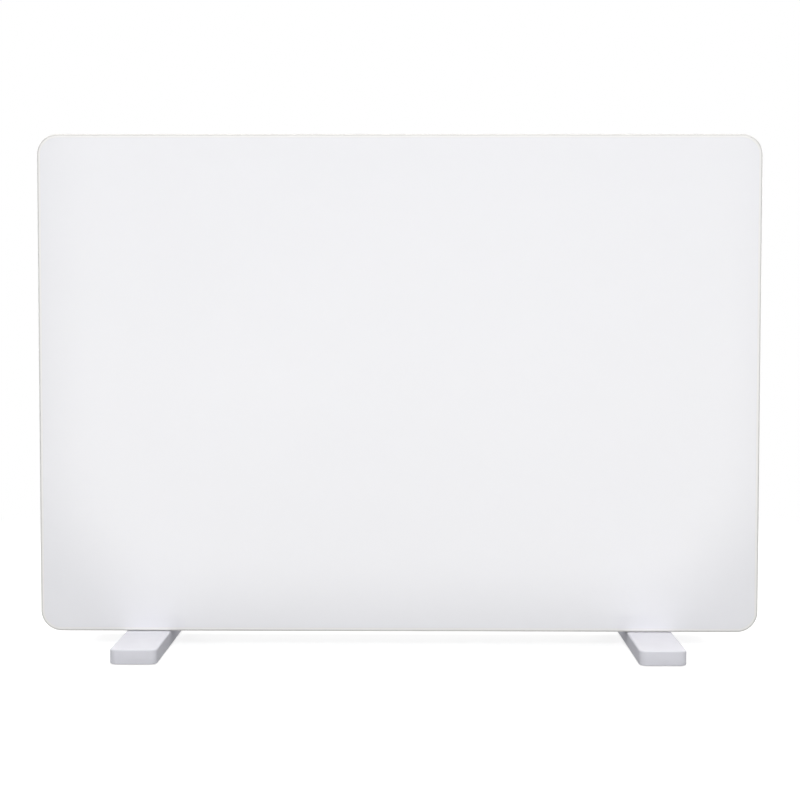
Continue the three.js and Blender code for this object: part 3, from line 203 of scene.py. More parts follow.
class ScrewSettings(bpy.types.PropertyGroup):
    """Proportions and colour of the cross-recessed screws."""

    height: share("Head height", "Height of the head beside its radius", 0.64)
    side: share("Head side", "Height of the head's upright side beside its whole height", 0.3)
    crown: share("Crown", "How far the crown draws in beside the head's radius", 0.35)
    flat: share("Flat", "Radius of the flat on the crown beside the head's radius", 0.45)
    shank: share("Shank", "Radius of the shank beside the head's", 0.52)
    hole: share("Hole", "Radius of the hole beside the head's, without its gap", 0.54)
    tip: share("Tip", "Radius of the shank's tip beside the shank's", 0.7)
    tip_length: share("Tip length", "Length of the tip beside the shank's radius", 0.5)
    cross: share("Cross", "Reach of the cross beside the head's radius", 0.52)
    cross_width: share("Cross width", "Half the width of the cross beside the head's radius", 0.13)
    cross_depth: share("Cross depth", "Depth of the cross beside the head's height", 0.55)
    zinc: colour("Zinc plate", "Colour of plated steel", 196, 199, 202)


class FootSettings(bpy.types.PropertyGroup):
    """Sizes and colours of the two feet and their pads."""

    thickness: length("Bar thickness", "Thickness of the flat bar", 13)
    corner: length("Corner radius", "Radius of the bar's corners seen from above", 6.5)
    edge: length("Edge radius", "Radius along the bar's upper edges", 1.5)
    lower_edge: length("Lower edge radius", "Radius along the bar's lower edges", 0.9)
    fillet: length("Fillet", "Radius between the bar and the pedestal", 1.05)
    pedestal_inset: length("Pedestal inset", "From the bar's side to the pedestal's side", 3.4)
    pedestal_corner: length("Pedestal corner", "Radius of the pedestal's corners", 4)
    recess_gap: length("Recess gap", "Room round a pad or a screw in its recess", 0.3)
    pad_corner: length("Pad corner", "Radius of a pad's corners", 4)
    pad_edge: length("Pad edge", "Radius along a pad's edges", 0.6)
    plastic: colour("Plastic", "Colour of the moulded feet", 218, 218, 226)
    rubber: colour("Rubber", "Colour of the pads", 58, 59, 61)


class PlateSettings(bpy.types.PropertyGroup):
    """Sizes and colours of the control plate and its printed scale."""

    corner: length("Corner radius", "Radius of the plate's corners", 4)
    edge: length("Edge", "Radius along the plate's outer edge", 0.8)
    bush_hole: share("Bush hole", "Radius of the thermostat's hole beside its nut's radius", 0.76)
    ticks: count("Ticks", "Count of ticks round the knob", 11, 2)
    tick_gap: length("Tick gap", "From the knob to the ticks", 0.7)
    tick_length: length("Tick length", "Length of a tick", 1.2)
    tick_width: length("Tick width", "Width of the first tick", 0.5)
    bar_gap: length("Bar gap", "From a switch to its first bar", 3)
    bar_pitch: length("Bar pitch", "From one bar to the next", 2.2)
    bar_width: length("Bar width", "Width of a bar beside a switch", 0.9)
    bar_length: length("Bar length", "Length of a bar beside a switch", 4.8)
    plastic: colour("Plate", "Colour of the control plate", 148, 150, 154)
    print_white: colour("Print", "Colour of the printed marks", 232, 232, 230)


class KnobSettings(bpy.types.PropertyGroup):
    """Sizes and colour of the thermostat knob."""

    skirt: length("Skirt", "Height of the skirt", 2.4)
    grip: length("Grip diameter", "Diameter of the grip", 31)
    taper: length("Taper", "How far the grip draws in towards its face", 0.5)
    flute_depth: length("Flute depth", "Depth of the flutes", 0.9)
    flutes: count("Flutes", "Count of flutes round the knob", 16, 3)
    edge: length("Edge", "Radius round the face", 1.2)
    dish: length("Dish", "Depth of the dish in the face", 0.5)
    hollow: length("Hollow", "Diameter of the hollow in the back", 21)
    hollow_depth: length("Hollow depth", "Depth of the hollow in the back", 5.5)
    cap: length("Cap", "Plastic over the end of the shaft", 3)
    shaft: length("Shaft", "Diameter of the thermostat's shaft", 6)
    mark: length("Mark", "Width of the mark", 1.4)
    mark_start: share("Mark start", "Inner end of the mark beside the grip's radius", 0.32)
    mark_end: share("Mark end", "Outer end of the mark beside the grip's radius", 0.86)
    mark_depth: length("Mark depth", "Depth of the mark's groove", 0.8)
    mark_angle: angle("Mark angle", "Where the mark points at rest", 135)
    plastic: colour("Knob", "Colour of the knob", 214, 214, 219)


class SwitchSettings(bpy.types.PropertyGroup):
    """Sizes and colour of the rocker switches."""

    bezel: length("Bezel", "Thickness of the bezel", 1.6)
    bezel_corner: length("Bezel corner", "Radius of the bezel's corners", 1.5)
    bezel_edge: length("Bezel edge", "Radius along the bezel's outer edge", 0.7)
    lap: length("Lap", "How far the bezel reaches past the housing", 1.4)
    wall: length("Wall", "Thickness of the housing's wall", 1.2)
    well: length("Well", "Depth of the well that the rocker swings in", 9.6)
    rocker_height: length("Rocker height", "Height of a rocker", 14.6)
    rocker_width: length("Rocker width", "Width of a rocker", 10)
    rocker_rise: length("Rocker rise", "From the pin to the valley between the halves", 4.6)
    valley: length("Valley", "Softness of the valley between the halves", 1.2)
    tilt: angle("Tilt", "Slope of each half of a rocker", 8)
    plastic: colour("Black plastic", "Colour of the rockers and their frames", 38, 38, 41)


class LensSettings(bpy.types.PropertyGroup):
    """Sizes and colour of the indicator lens."""

    body: share("Body", "Radius of the body beside the flange's", 0.73)
    dome: length("Dome", "Height of the dome", 1.4)
    flange: length("Flange", "Thickness of the flange", 1.2)
    edge: length("Edge", "Bevel of the flange", 0.3)
    amber: colour("Lens", "Colour of the lens", 226, 92, 38)


class GlandSettings(bpy.types.PropertyGroup):
    """Sizes of the cord gland."""

    bore: length("Bore", "Radius of the bore for the cord", 4)
    hole: share("Hole", "Radius of the casing's hole beside the flange's", 0.72)
    spigot: share("Spigot", "Radius of the part in the hole beside the flange's", 0.7)
    neck: share("Neck", "Radius of the sleeve at the flange beside the flange's", 0.82)
    mouth: share("Mouth", "Radius of the sleeve at its end beside the flange's", 0.59)
    seat: length("Seat", "From the casing's back to the flange", 0.3)
    flange: length("Flange", "Thickness of the flange", 3)
    ribs: count("Ribs", "Count of grooves round the sleeve", 5)
    rib_depth: length("Rib depth", "Depth of the grooves", 0.35)


class InnerSettings(bpy.types.PropertyGroup):
    """Colours of the pieces inside the casing."""

    bakelite: colour("Bakelite", "Colour of the thermal cut-out", 52, 44, 40)
    nylon: colour("Nylon", "Colour of the terminal block and the tip-over frame", 226, 223, 212)
    ceramic: colour("Ceramic", "Colour of the bushes and the thermostat", 236, 230, 216)
    aluminium: colour("Aluminium", "Colour of the element's fins", 208, 210, 213)
    brass: colour("Brass", "Colour of the pendulum", 201, 166, 96)
    supply: colour("Supply lead", "Colour of the supply lead", 106, 74, 55)
    thermostat: colour("Thermostat lead", "Colour of the thermostat's lead", 156, 59, 50)
    element: colour("Element lead", "Colour of the element's lead", 53, 80, 127)


class StageSettings(bpy.types.PropertyGroup):
    """Camera, lamps, floor and surroundings."""

    camera_side: length("Camera side", "How far the camera stands to the right", 13.7)
    camera_distance: length("Camera distance", "From the glass to the camera", 1446.6)
    camera_height: length("Camera height", "Height of the camera over the floor", 293.3)
    camera_pitch: angle("Camera pitch", "How far the camera looks down", 2.718)
    camera_yaw: angle("Camera yaw", "How far the camera looks to the left", 0.503)
    camera_roll: angle("Camera roll", "How far the camera leans", 0.049)
    lens: FloatProperty(name="Lens", description="Focal length in millimetres", default=72.3, min=1)
    surround: level("Surroundings", "Light from all round", 0.1)
    front: level("Front lamp", "Radiance of the large lamp before the glass", 2.85)
    front_top: share("Front lamp's top", "Share of the front lamp's radiance that its top gives", 0.65)
    front_distance: length("Front lamp's distance", "From the glass to the front lamp", 3000)
    front_corner: length("Front lamp's corner", "Radius of the front lamp's lower corners", 608)
    front_fade: length("Front lamp's fade", "Width of the front lamp's soft edge", 294)
    fill: level("Fill lamp", "Radiance of the raised lamp behind the camera", 11.9)
    top: level("Top lamp", "Radiance of the lamp overhead", 5.8)
    rear: level("Rear lamps", "Radiance of the two lamps behind, left and right", 5)
    floor: share("Floor", "Share of light that the floor gives back to the object", 0.38)
    floor_near: share("Floor near", "Share of light that the floor shows near the object", 0.42)
    floor_lift: share("Floor lift", "Brightness of the floor in full shadow", 0.78)
    shadow_start: length("Shadow start", "Where the floor's shadow starts to fade", 450)
    shadow_end: length("Shadow end", "Where the floor is plain white", 1100)
    floor_reach: length("Floor reach", "From the middle of the floor to its sides", 6000)


SETTINGS = {
    "heater_glass": GlassSettings,
    "heater_casing": CasingSettings,
    "heater_grille": GrilleSettings,
    "heater_screws": ScrewSettings,
    "heater_feet": FootSettings,
    "heater_plate": PlateSettings,
    "heater_knob": KnobSettings,
    "heater_switches": SwitchSettings,
    "heater_lens": LensSettings,
    "heater_gland": GlandSettings,
    "heater_inner": InnerSettings,
    "heater_stage": StageSettings,
}


# Outlines and profiles
def rounded_loop(left, right, low, high, radius, steps):
    """Points of a rounded rectangle, anticlockwise from its lower right corner."""
    radius = max(radius, HAIR)
    centres = (
        (right - radius, low + radius),
        (right - radius, high - radius),
        (left + radius, high - radius),
        (left + radius, low + radius),
    )
    loop = []
    for corner, (u, v) in enumerate(centres):
        for step in range(steps + 1):
            turn = (corner - 1 + step / steps) * QUARTER
            loop.append((u + radius * math.cos(turn), v + radius * math.sin(turn)))
    return loop


def circle_loop(radius, steps, middle=(0, 0)):
    """Points of a circle."""
    turns = [2 * math.pi * step / steps for step in range(steps)]
    return [(middle[0] + radius * math.cos(turn), middle[1] + radius * math.sin(turn)) for turn in turns]


def half_turn(steps):
    """Angles from 0 to half a turn."""
    return [math.pi * step / steps for step in range(steps + 1)]


def row_of(number, pitch, middle):
    """Places of like things in a row, the same on both sides of its middle."""
    return [middle + (index - (number - 1) / 2) * pitch for index in range(number)]


def at_height(loop, height):
    """The points of an outline as corners at one height."""
    return [Vector((u, v, height)) for u, v in loop]


def rectangle_rings(rectangle, profile, steps):
    """Rings round a rectangle (left, right, low, high, radius) for a profile of inset and height."""
    left, right, low, high, radius = rectangle
    rings = []
    for inset, height in profile:
        loop = rounded_loop(left + inset, right - inset, low + inset, high - inset, radius - inset, steps)
        rings.append(at_height(loop, height))
    return rings


def circle_rings(profile, steps):
    """Rings round the origin for a profile of radius and height."""
    return [at_height(circle_loop(max(radius, WELD), steps), height) for radius, height in profile]


def arc(start, end, steps, hollow=False):
    """A quarter of an ellipse between two profile points, full or hollow, without its first point."""
    (a, b), (c, d) = start, end
    points = []
    for step in range(1, steps + 1):
        turn = step / steps * QUARTER
        across, along = (1 - math.cos(turn), math.sin(turn))
        if hollow:
            across, along = along, across
        points.append((a + (c - a) * across, b + (d - b) * along))
    return points


def rounded_side(bottom, top, lower, upper, steps):
    """Profile of an upright side between two rounded edges of given radii."""
    return [
        (lower, bottom),
        *arc((lower, bottom), (0, bottom + lower), steps, hollow=True),
        (0, top - upper),
        *arc((0, top - upper), (upper, top), steps),
    ]


class Form:
    """Corners and faces of one piece, gathered before they become a mesh."""

    def __init__(self):
        self.corners = []
        self.faces = []
        self.finishes = []

    def add(self, corners, faces, matrix=LEVEL, finishes=None):
        """Adds corners and faces, each face with the number of its finish."""
        base = len(self.corners)
        self.corners += [matrix @ Vector(corner) for corner in corners]
        self.faces += [[base + index for index in face] for face in faces]
        self.finishes += finishes or [0] * len(faces)
        return self

    def loft(self, rings, matrix=LEVEL, closed=False, spans=None):
        """Joins rings of equal count. A closed loft ends where it began, another is capped at both ends."""
        number = len(rings[0])
        levels = len(rings) if closed else len(rings) - 1
        spans = spans or [0] * levels
        corners = [corner for ring in rings for corner in ring]
        faces = []
        finishes = []
        for step in range(levels):
            here = step * number
            there = (step + 1) % len(rings) * number
            for index in range(number):
                after = (index + 1) % number
                faces.append((here + index, here + after, there + after, there + index))
            finishes += [spans[step]] * number
        if not closed:
            faces.append(tuple(reversed(range(number))))
            faces.append(tuple(range(len(corners) - number, len(corners))))
            finishes += [spans[0], spans[-1]]
        return self.add(corners, faces, matrix, finishes)

    def prism(self, loop, bottom, top, matrix=LEVEL):
        """An outline carried from one height to another."""
        return self.loft([at_height(loop, bottom), at_height(loop, top)], matrix)

    def box(self, low, high, matrix=LEVEL):
        """A plain block between two corners."""
        (a, b, c), (d, e, f) = low, high
        return self.prism(((a, b), (d, b), (d, e), (a, e)), c, f, matrix)


# Places from the frame
def laid(node, way):
    """Lower and upper corner of a node's box as u, v and height of a form that is laid that way."""
    back = way.transposed()
    low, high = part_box(node)
    return back @ low, back @ high


def centre_of(node):
    """The middle of a node's box."""
    low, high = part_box(node)
    return (low + high) / 2


def on_wall(node):
    """Lays a form sideways at a node's middle on the side wall, and gives the node's size with it."""
    low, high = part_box(node)
    middle = (low + high) / 2
    return Matrix.Translation((low.x, middle.y, middle.z)) @ SIDEWAYS, high - low


def slab(node, way, corner, lower, upper, top=None, steps=10, edge_steps=5):
    """A slab in a node's box with round corners and soft edges, up to a given height or the whole box."""
    low, high = laid(node, way)
    top = high.z if top is None else top
    side = rounded_side(low.z, top, lower, upper, edge_steps)
    profile = [(lower + HAIR, low.z), *side, (upper + HAIR, top)]
    return Form().loft(rectangle_rings((low.x, high.x, low.y, high.y, corner), profile, steps), way)


def bore(form, node, way, radius_share, gap, bottom, top, steps=24):
    """A round tool at a node's middle, whose radius is a share of the node's and a gap."""
    low, high = laid(node, way)
    middle = ((low.x + high.x) / 2, (low.y + high.y) / 2)
    radius = (high.x - low.x) / 2 * radius_share + gap
    form.prism(circle_loop(radius, steps, middle), bottom, top, way)


def screw_nodes(group):
    """Names of the screw nodes of one group."""
    return sorted(node for node in frame["nodes"] if node.startswith(group))


def screw_holes(form, group, way, bottom, top):
    """Holes for the screws of a group, past both heights of a wall."""
    hole = bpy.context.scene.heater_screws.hole
    for node in screw_nodes(group):
        bore(form, node, way, hole, HAIR, bottom - OVERRUN, top + OVERRUN, steps=16)
    return form


# Meshes and pieces
def mesh_of(name, form):
    """A closed mesh of a form, with its faces turned outwards."""
    mesh = bpy.data.meshes.new(name)
    mesh.from_pydata(form.corners, [], form.faces)
    mesh.polygons.foreach_set("material_index", form.finishes)
    work = bmesh.new()
    work.from_mesh(mesh)
    bmesh.ops.remove_doubles(work, verts=work.verts, dist=2 * WELD)
    bmesh.ops.dissolve_degenerate(work, edges=work.edges, dist=WELD)
    bmesh.ops.recalc_face_normals(work, faces=work.faces)
    work.to_mesh(mesh)
    work.free()
    return mesh


def shade(mesh):
    """Smooth shading that breaks at the real edges."""
    mesh.polygons.foreach_set("use_smooth", [True] * len(mesh.polygons))
    mesh.set_sharp_from_angle(angle=SHARP)
    mesh.update()


def settle(piece):
    """Turns a piece's modifiers into its own mesh."""
    view = bpy.context.evaluated_depsgraph_get()
    made = bpy.data.meshes.new_from_object(piece.evaluated_get(view))
    piece.modifiers.clear()
    old = piece.data
    piece.data = made
    bpy.data.meshes.remove(old)


def combine(piece, form, operation):
    """Joins a form to a piece with UNION, or takes it out with DIFFERENCE."""
    tool = bpy.data.objects.new("tool", mesh_of("tool", form))
    bpy.context.scene.collection.objects.link(tool)
    modifier = piece.modifiers.new("combine", "BOOLEAN")
    modifier.operation = operation
    modifier.solver = "EXACT"
    modifier.use_self = True
    modifier.object = tool
    settle(piece)
    bpy.data.meshes.remove(tool.data)


def soften(piece, width):
    """Rounds the sharp edges of a piece."""
    modifier = piece.modifiers.new("edges", "BEVEL")
    modifier.width = width
    modifier.segments = 2
    modifier.limit_method = "ANGLE"
    modifier.angle_limit = BEVELLED
    modifier.use_clamp_overlap = True


def piece_of(name, form, finishes, nodes=(), body="root", added=None, cutter=None, bevel=0.0):
    """A finished piece that rides on a body, takes a slot's finish and stands for the given nodes."""
    mesh = mesh_of(name, form)
    for finish in finishes:
        mesh.materials.append(finish)
    piece = bpy.data.objects.new(name, mesh)
    bpy.context.scene.collection.objects.link(piece)
    if added:
        combine(piece, added, "UNION")
    if cutter:
        combine(piece, cutter, "DIFFERENCE")
    if bevel:
        soften(piece, bevel)
        settle(piece)
    if not len(piece.data.polygons):
        raise RuntimeError(f"{name} came out empty")
    shade(piece.data)
    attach(piece, body)
    if nodes:
        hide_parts(*nodes)
    return piece


def dress(node, finish, edge=0.0):
    """Gives a carried-over node its finish and, if its edges show, a small radius along them."""
    piece = frame["nodes"][node]
    piece.data.materials.clear()
    piece.data.materials.append(finish)
    if edge:
        soften(piece, edge)


# Finishes
def add_node(tree, kind, inputs, output=0, **settings):
    """Adds a node and hands out one output. An input takes a fixed value or the output that feeds it."""
    made = tree.nodes.new(kind)
    for key, value in settings.items():
        setattr(made, key, value)
    for key, value in inputs.items():
        if isinstance(value, bpy.types.NodeSocket):
            tree.links.new(value, made.inputs[key])
        else:
            made.inputs[key].default_value = value
    return made.outputs[output]


class Recipe:
    """A material under construction: its node tree and the inputs of its shader."""

    def __init__(self, name, base, roughness, metallic=0.0, specular=0.5):
        self.base = base
        self.material = bpy.data.materials.new(name)
        self.material.use_nodes = True
        self.material.diffuse_color = (*base, 1)
        self.tree = self.material.node_tree
        self.inputs = self.tree.nodes["Principled BSDF"].inputs
        self.inputs["Base Color"].default_value = (*base, 1)
        self.inputs["Roughness"].default_value = roughness
        self.inputs["Metallic"].default_value = metallic
        self.inputs["Specular IOR Level"].default_value = specular
        self.place = add_node(self.tree, "ShaderNodeTexCoord", {}, "Object")

    def feed(self, name, output):
        """Links an output to an input of the shader."""
        self.tree.links.new(output, self.inputs[name])

    def noise(self, size, detail=2.0, stretch=None):
        """Noise whose grains are about the given size."""
        place = self.place
        if stretch:
            place = add_node(self.tree, "ShaderNodeMapping", {"Vector": place, "Scale": stretch})
        inputs = {"Vector": place, "Scale": 1 / size, "Detail": detail}
        return add_node(self.tree, "ShaderNodeTexNoise", inputs, "Fac")

    def cells(self, size):
        """Small round cells, as in a spark-eroded mould."""
        inputs = {"Vector": self.place, "Scale": 1 / size}
        return add_node(self.tree, "ShaderNodeTexVoronoi", inputs, "Distance")

    def spread(self, factor, low, high):
        """A number that runs from low to high over the middle of the factor's range."""
        inputs = {"Value": factor, "From Min": 0.35, "From Max": 0.65, "To Min": low, "To Max": high}
        return add_node(self.tree, "ShaderNodeMapRange", inputs)

    def tone(self, factor, low, high):
        """Base colour that drifts a little darker and lighter with the factor."""
        first, second = [(*[min(1, part * scale) for part in self.base], 1) for scale in (low, high)]
        inputs = {"Factor": self.spread(factor, 0, 1), FIRST_COLOUR: first, SECOND_COLOUR: second}
        mixed = add_node(self.tree, "ShaderNodeMix", inputs, MIXED_COLOUR, data_type="RGBA")
        self.feed("Base Color", mixed)

    def gloss(self, factor, low, high):
        """Roughness that drifts with the factor."""
        self.feed("Roughness", self.spread(factor, low, high))

    def relief(self, height, depth, strength):
        """Fine relief of the given depth in metres, over what relief there is."""
        inputs = {"Height": height, "Distance": depth, "Strength": strength}
        if self.inputs["Normal"].is_linked:
            inputs["Normal"] = self.inputs["Normal"].links[0].from_socket
        self.feed("Normal", add_node(self.tree, "ShaderNodeBump", inputs))


def once(make):
    """Makes each material once and hands it out again under its name."""
    made = {}

    def hand_out(name, base, **values):
        if name not in made:
            made[name] = make(name, base, **values)
        return made[name]

    hand_out.__doc__ = make.__doc__
    return hand_out


@once
def polished_glass(name, base):
    """Enamel or a border seen through polished glass with the faint waves of tempering."""
    recipe = Recipe(name, base, roughness=0.035)
    recipe.tone(recipe.noise(160 * MM), 0.997, 1.003)
    recipe.relief(recipe.noise(150 * MM, detail=0.0), depth=0.05 * MM, strength=0.5)
    return recipe.material


@once
def fired_enamel(name, base):
    """The dull side of screen-printed enamel, a little uneven from the oven."""
    recipe = Recipe(name, base, roughness=0.5)
    recipe.tone(recipe.noise(25 * MM, detail=3.0), 0.96, 1.0)
    recipe.gloss(recipe.noise(6 * MM), 0.44, 0.56)
    recipe.relief(recipe.noise(1.2 * MM, detail=3.0), depth=0.02 * MM, strength=0.5)
    return recipe.material


@once
def ground_glass(name, base):
    """The finely ground and dull polished edge of the sheet."""
    recipe = Recipe(name, base, roughness=0.4, specular=0.35)
    recipe.tone(recipe.noise(3 * MM, stretch=(0.2, 1, 0.2)), 0.993, 1.007)
    recipe.gloss(recipe.noise(20 * MM), 0.38, 0.42)
    return recipe.material


@once
def powder_coat(name, base):
    """Baked powder paint on steel, with its fine orange peel."""
    recipe = Recipe(name, base, roughness=0.46)
    recipe.tone(recipe.noise(40 * MM), 0.995, 1.005)
    recipe.gloss(recipe.noise(5 * MM), 0.42, 0.5)
    recipe.relief(recipe.noise(1.6 * MM, detail=3.0), depth=0.03 * MM, strength=0.5)
    return recipe.material


@once
def moulded(name, base, roughness, grain, specular=0.5):
    """Moulded plastic with the fine grain of a spark-eroded mould."""
    recipe = Recipe(name, base, roughness, specular=specular)
    recipe.tone(recipe.noise(35 * MM), 0.982, 1.018)
    recipe.gloss(recipe.noise(4 * MM), roughness - 0.05, roughness + 0.05)
    recipe.relief(recipe.cells(grain), depth=0.03 * MM, strength=0.5)
    recipe.relief(recipe.noise(grain / 2), depth=0.01 * MM, strength=0.4)
    return recipe.material


@once
def soft_rubber(name, base):
    """Dull rubber with a little dust in its pores."""
    recipe = Recipe(name, base, roughness=0.8, specular=0.3)
    recipe.tone(recipe.noise(4 * MM, detail=5.0), 0.85, 1.2)
    recipe.relief(recipe.noise(0.5 * MM, detail=4.0), depth=0.05 * MM, strength=0.6)
    return recipe.material


@once
def bead(name, base):
    """Cured adhesive with a skin that is a little uneven."""
    recipe = Recipe(name, base, roughness=0.55)
    recipe.tone(recipe.noise(12 * MM), 0.94, 1.04)
    recipe.relief(recipe.noise(4 * MM), depth=0.25 * MM, strength=0.5)
    return recipe.material


@once
def metal(name, base, roughness, grain, stretch):
    """Bright metal with rolling or turning marks along one way."""
    recipe = Recipe(name, base, roughness, metallic=1.0)
    recipe.tone(recipe.noise(9 * MM, detail=4.0), 0.9, 1.06)
    streaks = recipe.noise(grain, detail=3.0, stretch=stretch)
    recipe.gloss(streaks, roughness - 0.06, roughness + 0.08)
    recipe.relief(streaks, depth=0.01 * MM, strength=0.4)
    return recipe.material


@once
def fired_clay(name, base):
    """Unglazed ceramic with fine pores."""
    recipe = Recipe(name, base, roughness=0.6)
    recipe.tone(recipe.noise(5 * MM, detail=4.0), 0.95, 1.03)
    recipe.relief(recipe.noise(0.6 * MM, detail=4.0), depth=0.06 * MM, strength=0.5)
    return recipe.material


@once
def clear_amber(name, base):
    """Tinted lens over a dark lamp, with rings moulded on its inner side."""
    recipe = Recipe(name, base, roughness=0.1)
    recipe.tone(recipe.cells(1.6 * MM), 0.75, 1.15)
    recipe.relief(recipe.cells(1.6 * MM), depth=0.06 * MM, strength=0.4)
    return recipe.material


@once
def printed(name, base):
    """Pad-printed ink, a little thin in places."""
    recipe = Recipe(name, base, roughness=0.5)
    recipe.tone(recipe.noise(0.8 * MM, detail=4.0), 0.9, 1.04)
    return recipe.material


def zinc_plate():
    """Zinc-plated steel, for the screws and the inner parts."""
    base = bpy.context.scene.heater_screws.zinc
    return metal("zinc_plate", base, roughness=0.32, grain=0.7 * MM, stretch=(1, 1, 0.25))


def grey_plastic():
    """Grey plastic, for the control plate and the gland's nut."""
    base = bpy.context.scene.heater_plate.plastic
    return moulded("plate_plastic", base, roughness=0.5, grain=0.5 * MM)


def black_plastic():
    """Black plastic, for the switches."""
    base = bpy.context.scene.heater_switches.plastic
    return moulded("rocker_plastic", base, roughness=0.3, grain=0.4 * MM)


# Pieces
class HEATER_OT_glass(bpy.types.Operator):
    """Builds the glass front with its ground edge, clear border and enamel"""

    bl_idname = "heater.glass"
    bl_label = "Glass Front"

    def execute(self, context):
        settings = context.scene.heater_glass
        low, high = laid("glass_panel", UPRIGHT)
        rectangle = (low.x, high.x, low.y, high.y, settings.corner)
        front = low.z
        back = high.z
        enamel_start = settings.border + settings.line
        front_insets = (enamel_start + settings.line, enamel_start, settings.border, settings.ground)
        back_insets = (settings.ground, settings.border, enamel_start)
        side = rounded_side(front, back, settings.arris, settings.arris, steps=6)
        profile = [(inset, front) for inset in front_insets] + side
        profile += [(inset, back) for inset in back_insets]
        field, line, border, ground, dull = range(5)
        spans = [field, line, border, ground, *[ground] * len(side), border, dull]
        form = Form().loft(rectangle_rings(rectangle, profile, settings.steps), UPRIGHT, spans=spans)
        finishes = [
            polished_glass("enamelled_glass", settings.enamel),
            polished_glass("enamel_line", [part * settings.line_tone for part in settings.enamel]),
            polished_glass("clear_border", settings.border_tone),
            ground_glass("ground_edge", settings.edge),
            fired_enamel("enamel_back", settings.enamel),
        ]
        piece_of("glass_front", form, finishes, ["glass_panel"])
        return {"FINISHED"}


class HEATER_OT_bond(bpy.types.Operator):
    """Finishes the four adhesive strips behind the glass"""

    bl_idname = "heater.bond"
    bl_label = "Bond Strips"

    def execute(self, context):
        settings = context.scene.heater_glass
        finish = bead("bond_bead", settings.bond)
        for side in ("top", "bottom", "left", "right"):
            dress(f"bond_strip_{side}", finish, settings.bond_edge)
        return {"FINISHED"}


class HEATER_OT_front_plate(bpy.types.Operator):
    """Builds the steel plate that the glass is bonded to"""

    bl_idname = "heater.front_plate"
    bl_label = "Front Plate"

    def execute(self, context):
        settings = context.scene.heater_casing
        low, high = laid("front_plate", UPRIGHT)
        edge = settings.sheet / 4
        corner = settings.corner + settings.rim
        form = slab("front_plate", UPRIGHT, corner, edge, edge, steps=12, edge_steps=2)
        holes = screw_holes(Form(), "rim_screw", UPRIGHT, low.z, high.z)
        finishes = [powder_coat("powder_coat", settings.paint)]
        piece_of("front_sheet", form, finishes, ["front_plate"], cutter=holes)
        return {"FINISHED"}


